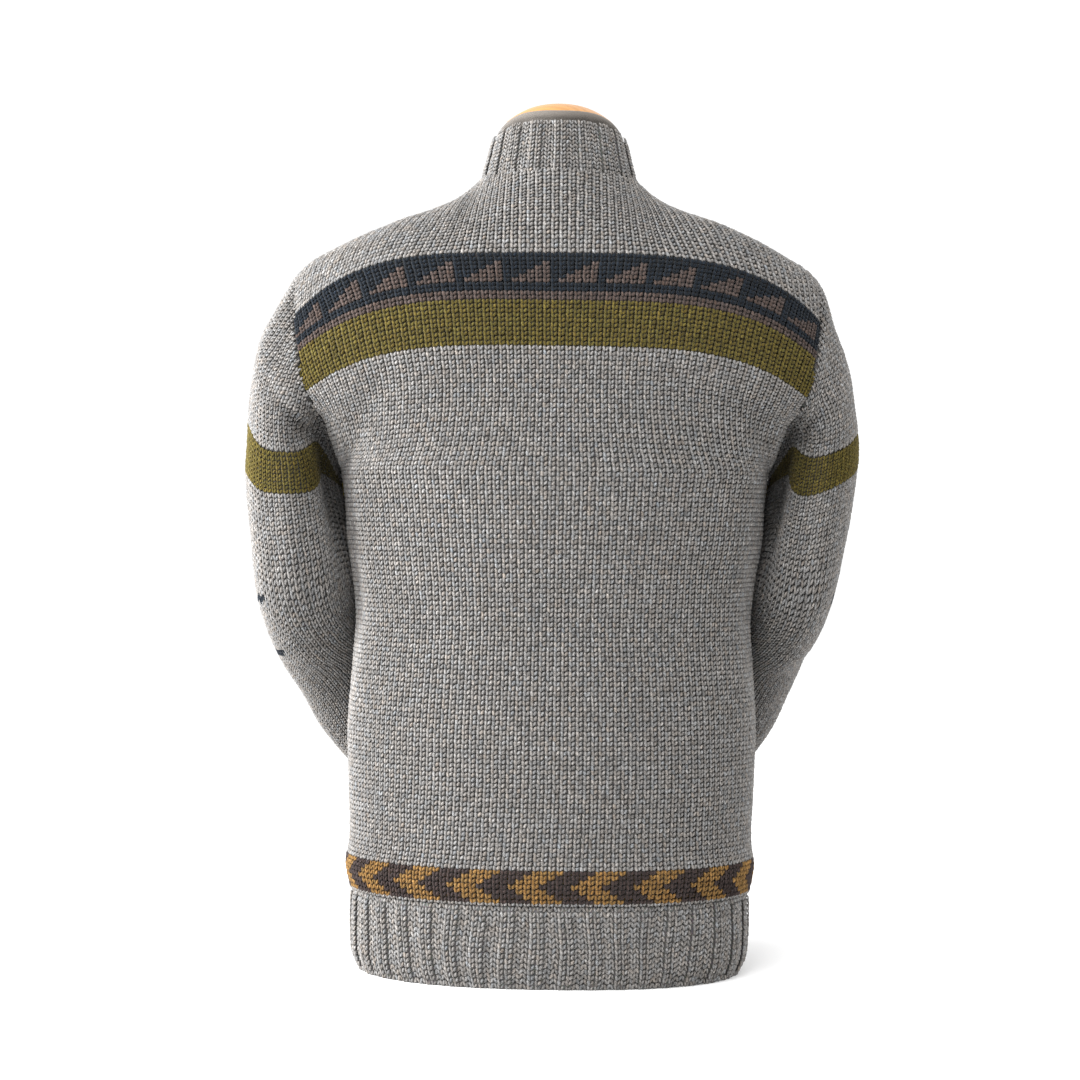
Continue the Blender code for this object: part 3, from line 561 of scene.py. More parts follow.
class Lattice:
    """Cloth as points at every half course and half wale. limit is the number of courses
    that each half wale holds, and edge the number of wales that each half course holds."""

    def __init__(self, grid, first, facing, limit=None, edge=None):
        self.grid = grid
        self.first = first
        self.facing = facing
        self.limit = limit
        self.edge = edge

    def stitches(self):
        """Rows and wales of the stitches that lie inside the cloth's edges, and how near
        each is to an edge, in millimetres."""
        rows = np.arange((self.grid.shape[0] - 1) // 2)
        wales = np.arange((self.grid.shape[1] - 1) // 2) + self.first
        r, w = (part.ravel() for part in np.meshgrid(rows, wales, indexing="ij"))
        near = np.full(r.shape, 99.0)
        if self.edge is not None:
            near = np.minimum(near, (self.edge[2 * r + 1] - np.abs(w + 0.5)) * 6)
        if self.limit is not None:
            near = np.minimum(near, (self.limit[2 * (w - self.first) + 1] - 2 * r - 1) * 2)
        kept = near > 0
        return r[kept], w[kept], near[kept]


def panel_lattice(back):
    """The back or front panel's lattice, and its fine grid by course and place across.
    Wales are cut off by the armhole, and above the yoke courses stay a pitch apart, so that
    the shoulder seam cuts them off too."""
    facing = 1 if back else -1
    courses = np.arange(0, TOP_COURSE + 1)
    across = np.linspace(-1, 1, FINE + 1)
    fine = panel(courses, across, back)
    folds = BACK_FOLDS if back else FRONT_FOLDS
    normals = grid_normals(fine, facing)
    c, t = np.meshgrid(courses, across, indexing="ij")
    wave = undulation(c, t * PANEL_WALES, 11 if back else 12, 0.0011)
    wave = wave * step((1 - np.abs(t)) / 0.1)
    wave = wave * step(c / 8) * step((TOP_COURSE - c) / 10)
    fine = fine - normals * (fold_depth(courses, across, folds) + wave)[..., None]

    wales = np.arange(-2 * PANEL_WALES, 2 * PANEL_WALES + 1) / 2
    rows = np.arange(0, 2 * YOKE_COURSE + 1) / 2
    count, crowd = smooth(WALE_ROWS, 1, rows), smooth(WALE_ROWS, 2, rows)
    share = wales[None] / count[:, None]
    place = share * (1 + crowd[:, None] * (1 - np.minimum(1, share**2)))
    if back:
        hung = BAND_SWAY / count * step(1 - rows / 26)
        place = place - hung[:, None] * (1 - np.minimum(1, share**2))
    # the chevron band hangs a little low
    low = BAND_DROP * step(rows / 1.5) * (1 - step((rows - 10) / 30))
    body = read_grid(fine, (rows - low)[:, None] + 0 * place, (place + 1) * FINE / 2)

    split = NECK_COLUMNS / HALF_COLUMNS
    most = WALE_ROWS[-1][1]
    knots = (0, NECK_WALES, most, 2 * PANEL_WALES), (0, split, 1, 2.4)
    top = np.sign(wales) * np.interp(np.abs(wales), *knots)
    rising = np.linspace(0, 1, RISE_POINTS)[:, None]
    lean = place[-1][None] * (1 - rising) + top[None] * rising
    above = YOKE_COURSE + rising * (TOP_COURSE - YOKE_COURSE) + 0 * lean
    lines = read_grid(fine, above, (lean + 1) * FINE / 2)
    yoke, limit = paced(lines, COURSE_PITCH / 2, YOKE_STEPS)
    grid = np.concatenate([body, yoke[1:]])
    edge = np.concatenate([count, np.full(YOKE_STEPS - 1, most)])
    return Lattice(grid, -PANEL_WALES, facing, limit + 2 * YOKE_COURSE, edge), fine


def band_sag(side, angle, station):
    """Stations by which a sleeve's courses lie lower than level ones, where the cloth sags
    behind the arm and rises beside the body: bells round the ring, strongest at the band."""
    below = station - BAND_STATION
    top = 1 - step(below / 1.8)
    bottom = step(below / 1.6) * (1 - step((below - 1.6) / 3.5))
    total = 0
    for centre, width, high, low in SLEEVE_SAG[side]:
        bell = np.exp(-(((angle - centre) / width) ** 2))
        total = total + bell * (high * top + low * bottom)
    return total


def sleeve_lattice(side):
    """A sleeve's lattice and fine grid. Courses are even along the sleeve below the band,
    and above it each wale keeps its pitch until the armhole seam cuts it off."""
    ring = np.linspace(0, 2 * math.pi, FINE + 1)
    steps = 300
    stations = np.linspace(0, CUFF_START, steps + 1)
    whole = evened(sleeve(stations, side, ring))
    facing = np.cross(whole[95, 60] - whole[95, 61], whole[94, 60] - whole[95, 60])
    facing = float(-np.sign(np.dot(facing, whole[95, 60] - whole[95, :-1].mean(axis=0))))
    # the slit between arm and body is shut by the nap of both
    bulge = np.exp(-((np.minimum(ring, 2 * math.pi - ring) / 0.5) ** 2))
    bulge = bulge * (step((stations - 4) / 2) * (1 - step((stations - 9) / 2)))[:, None]
    whole = whole - grid_normals(whole, facing) * (0.0026 * bulge)[..., None]

    below = stations >= BAND_STATION
    length = lengths(whole[below][:, :-1].mean(axis=1))
    count = int(round(length[-1] / SLEEVE_PITCH))
    level = np.interp(np.linspace(length[-1], 0, 2 * count + 1), length, stations[below])[:, None]

    low, high = SLEEVE_WALES
    wales = np.arange(-2 * high, 2 * high + 1) / 2
    edge = np.linspace(low, high, 2 * count + 1)
    columns = np.clip((wales[None] / edge[:, None] + 1) * FINE / 2, 0, FINE)
    rows = level + band_sag(side, columns * DEGREES, level)
    body = read_grid(whole, rows * steps / CUFF_START, columns)
    rising = np.linspace(1, 0, RISE_POINTS)[:, None]
    columns = (wales[None] / high + 1) * FINE / 2 + 0 * rising
    start = BAND_STATION + band_sag(side, columns * DEGREES, float(BAND_STATION))
    lines = read_grid(whole, start * rising * steps / CUFF_START, columns)
    cap, limit = paced(lines, SLEEVE_PITCH / 2, SLEEVE_STEPS)
    grid = np.concatenate([body, cap[1:]])
    places = np.meshgrid(np.arange(grid.shape[0]) / 2, wales, indexing="ij")
    wave = undulation(*places, 20 + side, 0.0012)
    grid = grid - grid_normals(grid, facing) * wave[..., None]
    edge = np.concatenate([edge, np.full(SLEEVE_STEPS - 1, float(high))])
    cloth = Lattice(grid, -high, facing, limit + 2 * count, edge)
    # the sheet runs on under the body's edge, so that no gap opens at the seam
    fine = whole[::-5]
    hidden = fine[-1] + 0.004 * unit(fine[-1] - fine[-2])
    return cloth, np.concatenate([fine, hidden[None]]), count


def set_mesh(name, points, faces, material, colours=None, corners=None):
    """A smooth-shaded object from arrays: points, equal-sized faces, and where given a
    colour for each point and a map place for each face's corner."""
    mesh = bpy.data.meshes.new(name)
    mesh.vertices.add(len(points))
    mesh.vertices.foreach_set("co", np.ascontiguousarray(points, np.float32).ravel())
    mesh.loops.add(faces.size)
    mesh.loops.foreach_set("vertex_index", np.ascontiguousarray(faces, np.int32).ravel())
    mesh.polygons.add(len(faces))
    starts = np.arange(0, faces.size, faces.shape[1], dtype=np.int32)
    mesh.polygons.foreach_set("loop_start", starts)
    mesh.update(calc_edges=True)
    mesh.polygons.foreach_set("use_smooth", np.ones(len(faces), bool))
    if colours is not None:
        dyed = mesh.attributes.new("yarn", "FLOAT_COLOR", "POINT")
        whole = np.concatenate([colours, np.ones((len(colours), 1))], axis=1)
        dyed.data.foreach_set("color", whole.astype(np.float32).ravel())
    if corners is not None:
        layer = mesh.uv_layers.new(name="OFBake")
        layer.data.foreach_set("uv", corners.astype(np.float32).ravel())
    mesh.materials.append(material)
    made = bpy.data.objects.new(name, mesh)
    bpy.context.scene.collection.objects.link(made)
    return made


def backing(name, grid, facing, shades, sunk, around):
    """A closed sheet under the yarn: the grid moved in along its normals by sunk, and by
    the sheet's thickness more for its inner side, with a rim round its edges."""
    normals = grid_normals(grid, facing)
    if around:
        normals[:, 0] = normals[:, -1] = unit(normals[:, 0] + normals[:, -1])
        grid, normals = grid[:, :-1], normals[:, :-1]
        shades = shades[:, :-1]
    rows, columns = grid.shape[:2]
    count = rows * columns
    outer = (grid - normals * sunk).reshape(-1, 3)
    inner = (grid - normals * (sunk + SHEET_THICKNESS)).reshape(-1, 3)
    numbers = np.arange(count).reshape(rows, columns)
    if around:
        numbers = np.concatenate([numbers, numbers[:, :1]], axis=1)
    a, b = numbers[:-1, :-1], numbers[:-1, 1:]
    c, d = numbers[1:, 1:], numbers[1:, :-1]
    skin = np.stack([a, b, c, d], axis=-1).reshape(-1, 4)
    rims = [(numbers[0], False), (numbers[-1], True)]
    if not around:
        rims += [(numbers[:, 0], True), (numbers[:, -1], False)]
    faces = [skin, skin[:, ::-1] + count]
    for line, flip in rims:
        band = np.stack([line[:-1], line[:-1] + count, line[1:] + count, line[1:]], axis=-1)
        faces.append(band[:, ::-1] if flip else band)
    faces = np.concatenate(faces)
    if facing < 0:
        faces = faces[:, ::-1]
    colours = np.concatenate([shades.reshape(-1, 3)] * 2)
    return set_mesh(name, np.concatenate([outer, inner]), faces, made_once(knit_backing), colours)


def spindle_faces(rings):
    """Triangles of one three-sided spindle: a fan at each tip and bands between its rings.
    Point 0 and the last point are the tips."""
    faces = []
    last = rings * SIDES + 1
    for k in range(SIDES):
        n = (k + 1) % SIDES
        faces.append((1 + k, 1 + n, 0))
        for ring in range(rings - 1):
            a, b = 1 + ring * SIDES + k, 1 + ring * SIDES + n
            faces.append((b + SIDES, b, a))
            faces.append((a + SIDES, b + SIDES, a))
        faces.append((1 + (rings - 1) * SIDES + n, 1 + (rings - 1) * SIDES + k, last))
    return np.array(faces)


def spindle_places(rings):
    """Map places of spindle_faces' corners in a unit cell, a strip for each side."""
    places = []
    for k in range(SIDES):
        left, right = k / SIDES + 0.03, (k + 1) / SIDES - 0.03
        middle = (left + right) / 2
        level = [0.05 + 0.9 * r / (rings + 1) for r in range(rings + 2)]
        places.append(((left, level[1]), (right, level[1]), (middle, level[0])))
        for ring in range(1, rings):
            low, high = level[ring], level[ring + 1]
            places.append(((right, high), (right, low), (left, low)))
            places.append(((left, high), (right, high), (left, low)))
        places.append(((right, level[-2]), (left, level[-2]), (middle, level[-1])))
    return np.array(places)


def yarn(name, cloth, rows, wales, kinds, lift, dyes, seed, round_legs=True):
    """Stitches as pairs of spindles. A leg's centreline is its template in the stitch's own
    directions, across u, up v and out n: place = centre + a u + b v + h n. At each ring the
    points stand round it, the first one out along n."""
    dice = np.random.default_rng(settings().seed + seed)
    plump = settings().plump
    i, j = 2 * rows + 1, 2 * (wales - cloth.first) + 1
    grid = cloth.grid
    u = (grid[i, j + 1] - grid[i, j - 1]) * cloth.facing
    v = grid[i + 1, j] - grid[i - 1, j]
    out = unit(np.cross(u, v))
    count = len(rows)
    centre = grid[i, j] + u * dice.normal(0, 0.02, (count, 1))
    centre = centre + v * dice.normal(0, 0.03, (count, 1))
    centre = centre + out * (lift + dice.normal(0, 0.00008, count))[:, None]
    purl_right = [(-across, up, high) for across, up, high in PURL_LEFT]
    templates = np.array([[KNIT_LEFT, PURL_LEFT], [KNIT_RIGHT, purl_right]])
    if not round_legs:
        middle = templates[:, :, 1:3].mean(axis=2, keepdims=True)
        templates = np.concatenate([templates[:, :, :1], middle, templates[:, :, 3:]], axis=2)
    rings = templates.shape[2] - 2
    angles = [math.pi / 2 + 2 * math.pi * k / SIDES for k in range(SIDES)]
    wide, tall = np.linalg.norm(u, axis=1), np.linalg.norm(v, axis=1)
    above = YARN_RISE * plump * dice.normal(1, 0.08, count)
    # painted shade: the yarn's colour is darkened at its tips and low on its sides, where its
    # neighbours shade it
    shaded = [0.66] + [0.78 + 0.40 * max(0, math.sin(angle)) ** 2 + 0.15 * abs(math.cos(angle))
                       for angle in angles] * rings + [0.58]
    shaded = np.minimum(1, np.array(shaded))[None, :, None]
    legs, dye = [], []
    # painted shade: the left leg of a knit stitch is drawn darker than its right one, against the light
    # from the left that it catches
    for shape, width, painted_shade_of_leg in ((templates[0], 0.225, 0.93), (templates[1], 0.220, 1.0)):
        shape = shape[kinds]
        beside = np.where(kinds == 0, width * wide, 0.33 * tall) * plump
        beside = beside * dice.normal(1, 0.06, count) * 1.15
        across = shape[..., 0] + dice.normal(0, 0.018, (count, 1))
        up = shape[..., 1] + dice.normal(0, 0.03, (count, 1))
        line = centre[:, None] + across[..., None] * u[:, None] + up[..., None] * v[:, None]
        line = line + (shape[..., 2] * 0.001)[..., None] * out[:, None]
        points = [line[:, :1]]
        for ring in range(1, rings + 1):
            ahead = line[:, ring + 1] - line[:, ring - 1]
            aside = unit(np.cross(ahead, out))
            rise = unit(np.cross(aside, ahead))
            for angle in angles:
                flat, high = beside * math.cos(angle), above * math.sin(angle)
                points.append((line[:, ring] + aside * flat[:, None] + rise * high[:, None])[:, None])
        points.append(line[:, -1:])
        legs.append(np.concatenate(points, axis=1))
        tone = dice.normal(0, 0.11, (count, 1, 1)) + dice.normal(0, 0.11, (count, shaded.shape[1], 1))
        # heathered wool: brown fibres among the blue-grey ones
        tone = tone + dice.normal(0, 0.032, (count, 1, 1)) * np.array((1.0, 0.1, -0.8))
        # the yarn's colour carries the painted shade of its tips, its sides and its left legs
        painted_leg_shade = np.where(kinds == 0, painted_shade_of_leg, 1)[:, None, None]
        dye.append(dyes[:, None] * np.exp(tone) * shaded * painted_leg_shade)
    points = np.stack(legs, axis=1)
    starts = np.arange(count * 2) * points.shape[2]
    faces = (starts[:, None, None] + spindle_faces(rings)[None]).reshape(-1, 3)
    cells = math.ceil(math.sqrt(count * 2))
    number = np.arange(count * 2)
    origin = np.stack([number % cells, number // cells], axis=1) / cells
    corners = origin[:, None, None] + spindle_places(rings)[None] / cells
    colours = np.stack(dye, axis=1).reshape(-1, 3)
    made = set_mesh(name, points.reshape(-1, 3), faces, made_once(lambswool_yarn), colours, corners)
    return dress(made)


def rib_kinds(wales):
    """0 for knit and 1 for purl in a two by two rib, and the rib's height there, in metres."""
    knit = (wales - 1) % 4 < 2
    return np.where(knit, 0, 1), np.where(knit, 0.0013, -0.0010)


def ribbed(cloth):
    """The grid for the sheet under a rib, at every half wale and every second course: out
    under its knit wales and in under its purl ones, so that no gap shows edge on."""
    middles = np.arange(1, cloth.grid.shape[1], 2)
    lift = rib_kinds(cloth.first + middles // 2)[1]
    lift = np.interp(np.arange(cloth.grid.shape[1]), middles, lift)
    normals = grid_normals(cloth.grid, cloth.facing)
    return (cloth.grid + normals * lift[None, :, None])[::4]


def chevron(rows, wales):
    """True for the gold stitches of the chevron band, eight wales and seven rows a repeat,
    pointing left: arms that open to the right from the tip, two to four stitches thick."""
    column, off = (wales + 6) % 8, np.abs(rows - 4)
    solid = (column >= 1) & (column <= 4) & (off < column)
    arms = (column >= 5) & (off >= column - 4) & (off <= 3)
    return solid | arms


def steps_motif(rows, wales):
    """True for the brown stitches of the yoke's steps, six wales and five rows a repeat:
    columns of one to five stitches that rise to the right, then a gap."""
    column, level = wales % 6, rows - MOTIF_BAND[0] - 2
    return (level >= 0) & (level < column + 1) & (column < 5) & (level < 5)


def panel_dyes(rows, wales):
    """Yarn colour of each stitch of a panel, from the bands' courses."""
    dyes = np.tile(dye_of("grey"), (len(rows), 1))
    for band, ground, motif, raised in (
        (CHEVRON_BAND, "bark", chevron, "gold"),
        (OLIVE_BAND, "olive", None, None),
        (THIN_STRIPE, "brown", None, None),
        (MOTIF_BAND, "navy", steps_motif, "brown"),
    ):
        inside = (rows >= band[0]) & (rows < band[1])
        dyes[inside] = dye_of(ground)
        if motif:
            dyes[inside & motif(rows, wales)] = dye_of(raised)
    return dyes


def sleeve_dyes(side, cloth, rows, wales, count):
    """Yarn colour of each stitch of a sleeve: grey, with an olive band that ends at course
    count, the few navy stitches at its outer edge, and painted shade in the hollow
    between arm and body."""
    dyes = np.tile(dye_of("grey"), (len(rows), 1))
    dyes[(rows < count) & (rows >= count - BAND_COURSES)] = dye_of("olive")
    x, _, z = cloth.grid[2 * rows + 1, 2 * (wales - cloth.first) + 1].T
    for there, height, reach in SLEEVE_MARKS:
        if there == side:
            dyes[(np.abs(z - height) < 0.0032) & (side * x > reach) & (wales < 2)] = dye_of("navy")
    # painted shade: in the hollow between arm and body the yarn is darkened, as the cloth
    # there lies in its neighbours' shade: a bell round the sleeve, 20 degrees back from its
    # inner side, between two heights
    turn = (wales + 0.5) / SLEEVE_WALES[1] * 180 + 180
    width = 28 + 24 * step((z - 0.36) / 0.06)
    painted_hollow_shade = np.exp(-(((turn - 20) / width) ** 2)) * step((z - 0.30) / 0.08)
    painted_hollow_shade = painted_hollow_shade * (1 - step((z - 0.455) / 0.04))
    return dyes * (1 - 0.75 * painted_hollow_shade)[:, None]


def add(tree, kind, settings=None, links=None):
    """Adds a shader node, sets its properties and inputs, and links sockets into it."""
    node = tree.nodes.new(kind)
    for name, value in (settings or {}).items():
        if isinstance(name, str) and hasattr(node, name):
            setattr(node, name, value)
        else:
            node.inputs[name].default_value = value
    for name, socket in (links or {}).items():
        tree.links.new(socket, node.inputs[name])
    return node


def new_material(name, values):
    """A node material whose Principled shader has these values, with its node tree, that
    shader and the object's own coordinates, which its textures are read at."""
    material = bpy.data.materials.new(name)
    material.use_nodes = True
    tree = material.node_tree
    shader = tree.nodes["Principled BSDF"]
    for key, value in values.items():
        shader.inputs[key].default_value = value
    return material, tree, shader, add(tree, "ShaderNodeTexCoord").outputs["Object"]


def noise(tree, place, scale, detail, roughness=0.5):
    """Outputs of a noise texture."""
    texture = {"Scale": scale, "Detail": detail, "Roughness": roughness}
    return add(tree, "ShaderNodeTexNoise", texture, {"Vector": place}).outputs


def ramp(tree, factor, stops):
    """A colour ramp through these stops, each a position and a colour."""
    node = add(tree, "ShaderNodeValToRGB", links={"Fac": factor})
    elements = node.color_ramp.elements
    for element, (position, colour) in zip(elements, (stops[0], stops[-1])):
        element.position, element.color = position, (*colour, 1)
    for position, colour in stops[1:-1]:
        elements.new(position).color = (*colour, 1)
    return node.outputs["Color"]


def raise_surface(tree, shader, height, strength, distance):
    """Bump from a height, at this strength and with this depth in metres."""
    bump = add(tree, "ShaderNodeBump", {"Strength": strength, "Distance": distance},
               {"Height": height})
    tree.links.new(bump.outputs["Normal"], shader.inputs["Normal"])


def dyed_by(tree, shader, texture, share):
    """The base colour is the mesh's own yarn colour times a texture, mixed in by this share."""
    dyed = add(tree, "ShaderNodeAttribute", {"attribute_name": "yarn"})
    shade = add(tree, "ShaderNodeMix", {"data_type": "RGBA", "blend_type": "MULTIPLY"})
    shade.inputs["Factor"].default_value = share
    tree.links.new(dyed.outputs["Color"], shade.inputs["A"])
    tree.links.new(texture, shade.inputs["B"])
    tree.links.new(shade.outputs["Result"], shader.inputs["Base Color"])


def toned(tree, shader, colour, factor, low, high):
    """The base colour is one colour, scaled from low to high by a factor."""
    level = add(tree, "ShaderNodeMapRange", {"To Min": low, "To Max": high}, {"Value": factor})
    shade = add(tree, "ShaderNodeVectorMath", {"operation": "SCALE", 0: colour},
                {"Scale": level.outputs["Result"]})
    tree.links.new(shade.outputs["Vector"], shader.inputs["Base Color"])


def lambswool_yarn():
    """Thick woollen-spun lambswool in heather shades: light and dark fibres carded together
    and never quite mixed, so the yarn looks flecked and gives no shine, only a soft halo."""
    material, tree, shader, place = new_material("lambswool_yarn", {
        "Roughness": 0.95, "Specular IOR Level": 0.08, "Sheen Weight": 0.05, "Sheen Roughness": 0.6})
    # tufts of unmixed fibre are about 1.5 mm across
    tufts = noise(tree, place, 760.0, 3.0, 0.65)
    stops = (0.32, (0.54, 0.52, 0.50)), (0.50, (0.98, 0.97, 0.96)), (0.70, (1.68, 1.70, 1.73))
    dyed_by(tree, shader, ramp(tree, tufts["Fac"], stops), 1.0)
    # single fibres are 0.02 mm thick, drawn as 0.3 mm ones so that they show
    raise_surface(tree, shader, noise(tree, place, 2600.0, 2.0)["Fac"], 0.35, 0.0004)
    return material


def knit_backing():
    """The loops behind the stitches, seen only in the gaps between them. Their colour is painted shade:
    the sheet's darkened yarn colour, mottled and darkened further by a noise.
    """
    material, tree, shader, place = new_material("knit_backing", {
        "Roughness": 1.0, "Specular IOR Level": 0.1})
    dyed_by(tree, shader, noise(tree, place, 700.0, 2.0)["Color"], 0.6)
    return material


def cotton_jersey(colour):
    """Fine brushed cotton jersey: an even, matt knit whose 1 mm wales barely show."""
    material, tree, shader, place = new_material("cotton_jersey", {
        "Roughness": 0.9, "Specular IOR Level": 0.2, "Sheen Weight": 0.15})
    mottle = noise(tree, place, 900.0, 3.0)["Fac"]
    toned(tree, shader, colour, mottle, 0.82, 1.18)
    raise_surface(tree, shader, mottle, 0.35, 0.0003)
    return material


def calico_cover():
    """Unbleached calico drawn over the form's padding: a plain weave, drawn 1 mm wide so
    that it shows, with darker slubs."""
    material, tree, shader, place = new_material("calico_cover", {"Roughness": 0.85})
    threads = add(tree, "ShaderNodeTexWave", {
        "wave_type": "BANDS", "bands_direction": "Z", "Scale": 160.0, "Distortion": 1.5,
        "Detail": 1.0}, {"Vector": place})
    stops = (0.3, to_linear("#B9AE9A")), (0.7, to_linear("#D3CAB8"))
    tone = ramp(tree, noise(tree, place, 60.0, 4.0)["Fac"], stops)
    tree.links.new(tone, shader.inputs["Base Color"])
    raise_surface(tree, shader, threads.outputs["Fac"], 0.3, 0.0004)
    return material


def varnished_pine(colour):
    """Turned pine under satin varnish: honey-coloured, with faint darker growth rings about
    4 mm apart seen on the end grain, and soft broad highlights."""
    material, tree, shader, place = new_material("varnished_pine", {
        "Roughness": 0.42, "Coat Weight": 0.35, "Coat Roughness": 0.18})
    turned = add(tree, "ShaderNodeMapping", {"Location": (0.03, 0.08, 0.0), "Scale": (1.0, 1.0, 0.25)},
                 {"Vector": place})
    rings = add(tree, "ShaderNodeTexWave", {
        "wave_type": "RINGS", "rings_direction": "Z", "Scale": 38.0, "Distortion": 2.5,
        "Detail": 3.0, "Detail Scale": 1.5}, {"Vector": turned.outputs["Vector"]})
    dark = (*[part * 0.80 for part in colour[:2]], colour[2] * 0.70)
    tone = ramp(tree, rings.outputs["Fac"], ((0.0, dark), (1.0, colour)))
    tree.links.new(tone, shader.inputs["Base Color"])
    return material


def paper_sweep(colour):
    """White seamless background paper, matt and even. It glows faintly, as if lit from
    behind, so that its edges melt into the white room."""
    material, tree, shader, place = new_material("paper_sweep", {
        "Emission Color": (1, 1, 1, 1), "Emission Strength": 0.10, "Roughness": 0.9,
        "Specular IOR Level": 0.1})
    toned(tree, shader, colour, noise(tree, place, 3.0, 2.0)["Fac"], 0.99, 1.01)
    return material


def made_once(make):
    """The material that this function makes and that has its name, made at its first use."""
    return bpy.data.materials.get(make.__name__) or make()


def dye(name, description, code):
    """A colour property whose default is this sRGB hex code."""
    return FloatVectorProperty(
        name=name, description=description, subtype="COLOR", default=to_linear(code))


class SweaterSettings(bpy.types.PropertyGroup):
    grey: dye("Heather grey", "Mean colour of the ground yarn", "#797775")
    olive: dye("Olive", "Yarn of the plain stripe", "#50471F")
    navy: dye("Navy", "Ground yarn of the yoke band", "#151B22")
    brown: dye("Brown", "Yarn of the steps and the thin stripe", "#463C38")
    gold: dye("Gold", "Yarn of the chevrons", "#765A33")
    bark: dye("Bark", "Ground yarn of the chevron band", "#352C2A")
    lining: dye("Lining", "Jersey inside the collar", "#625D58")
    wood: dye("Neck cap", "Varnished wood", "#B57C33")
    plump: FloatProperty(
        name="Plumpness", description="Thickness of the yarn against its stitch", default=1.1,
        min=0.5, max=1.4)
    seed: IntProperty(name="Seed", description="Sets the yarn's unevenness", default=7, min=0)
    key: FloatProperty(
        name="Key light", description="Strength of the softbox on the left", default=155.0,
        min=0.0, unit="POWER")
    eye: FloatProperty(
        name="Camera height", description="Height of the camera over the floor", default=0.42,
        unit="LENGTH")
    away: FloatProperty(
        name="Camera distance", description="Distance of the camera from the form's middle",
        default=2.40, unit="LENGTH")


def settings():
    return bpy.context.scene.sweater_settings


def dye_of(name):
    """Linear colour of one of the yarns."""
    return np.array(getattr(settings(), name))


def dress(piece, nodes=()):
    """Ties a finished piece to the part's body and hides the solids it stands for."""
    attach(piece, "root")
    if nodes:
        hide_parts(*nodes)
    return piece


def lay(name, grid, facing, sunk=0.0017, around=False, shades=None):
    """The backing sheet of a knitted piece, in grey darkened as painted shade where no shades are
    given.
    """
    if shades is None:
        shades = np.tile(dye_of("grey") * GAP_SHADE, (*grid.shape[:2], 1))
    return dress(backing(name + "_sheet", grid, facing, shades, sunk, around), nodes=[name])


def knit_rib(name, cloth, seed, sunk, lower, around=True, round_legs=True):
    """The sheet and the stitches of a ribbed piece. lower changes the stitches' height."""
    sheet = lay(name, ribbed(cloth), cloth.facing, sunk, around)
    rows, wales, _ = cloth.stitches()
    kinds, lift = rib_kinds(wales)
    dyes = np.tile(dye_of("grey"), (len(rows), 1))
    made = yarn(name + "_stitches", cloth, rows, wales, kinds, lower(lift, rows), dyes, seed,
                round_legs)
    return sheet, [made]


def sunken(near):
    """Drop of the stitches beside a seam, in metres, 0.5 mm at the seam itself."""
    return 0.0005 * (1 - step(near / 7))


class OBJECT_OT_knit_panels(bpy.types.Operator):
    """Knit the back and the front with their bands"""

    bl_idname = "object.knit_panels"
    bl_label = "Knit panels"

    def execute(self, context):
        edges = [course for band in (CHEVRON_BAND, OLIVE_BAND, MOTIF_BAND) for course in band]
        courses = np.unique(np.concatenate([np.arange(0, TOP_COURSE, 3), edges, [TOP_COURSE]]))
        for name, back, flat, area, stretches in (
            ("back_panel", True, (0.47, 0.63), 0.285, ((0, 68), (68, 200))),
            ("front_panel", False, (0.47, 0.61), 0.278, ((0, 200),)),
        ):
            cloth, fine = panel_lattice(back)
            grid = fine[courses][:, ::4]
            columns = grid.shape[1]
            # painted shade: the sheet takes the bands' colours, darkened
            shades = panel_dyes(courses.repeat(columns), np.zeros(grid[..., 0].size, int)) * GAP_SHADE
            sheet = lay(name, grid, cloth.facing, shades=shades.reshape(-1, columns, 3))
            rows, wales, near = cloth.stitches()
            dyes = panel_dyes(rows, wales)
            lift = -sunken(near)
            kinds = np.zeros(len(rows), int)
            for number, (low, high) in enumerate(stretches):
                kept = (rows >= low) & (rows < high)
                yarn(
                    f"{name}_stitches_{number + 1}", cloth, rows[kept], wales[kept], kinds[kept],
                    lift[kept], dyes[kept], number, round_legs=back)
        return {"FINISHED"}


class OBJECT_OT_knit_hem(bpy.types.Operator):
    """Knit the two by two rib at the hem"""

    bl_idname = "object.knit_hem"
    bl_label = "Knit hem rib"

    def execute(self, context):
        levels = np.linspace(0.0, HEM_ROWS[-1][0], 2 * HEM_COURSES + 1)
        across = np.linspace(-1, 1, 4 * PANEL_WALES + 1)
        rows = np.arange(2 * HEM_COURSES + 1)[:, None]
        sway = 0.5 * np.sin(across[None] * 9.0 + rows * 0.05) * step((HEM_COURSES * 2 - rows) / 20)
        sway = sway / PANEL_WALES * step((1 - np.abs(across)) / 0.2)
        columns = (across[None] + sway + 1) * 8 * PANEL_WALES

        def drawn_in(lift, rows):
            """The rib is drawn in at its cast-on edge and where the body's stitches start."""
            ends = step(rows / 2.0 + 0.35) * step((HEM_COURSES - rows) / 2.5)
            return lift * ends - 0.0002 - 0.0006 * (rows == HEM_COURSES - 1)

        for name, back in (("hem_rib_back", True), ("hem_rib_front", False)):
            even = hem_half(levels, np.linspace(-1, 1, 16 * PANEL_WALES + 1), back)
            grid = read_grid(even, rows + 0 * columns, columns)
            cloth = Lattice(grid, -PANEL_WALES, 1 if back else -1)
            sheet, made = knit_rib(name, cloth, 5, 0.0012, drawn_in, around=False, round_legs=back)
        return {"FINISHED"}


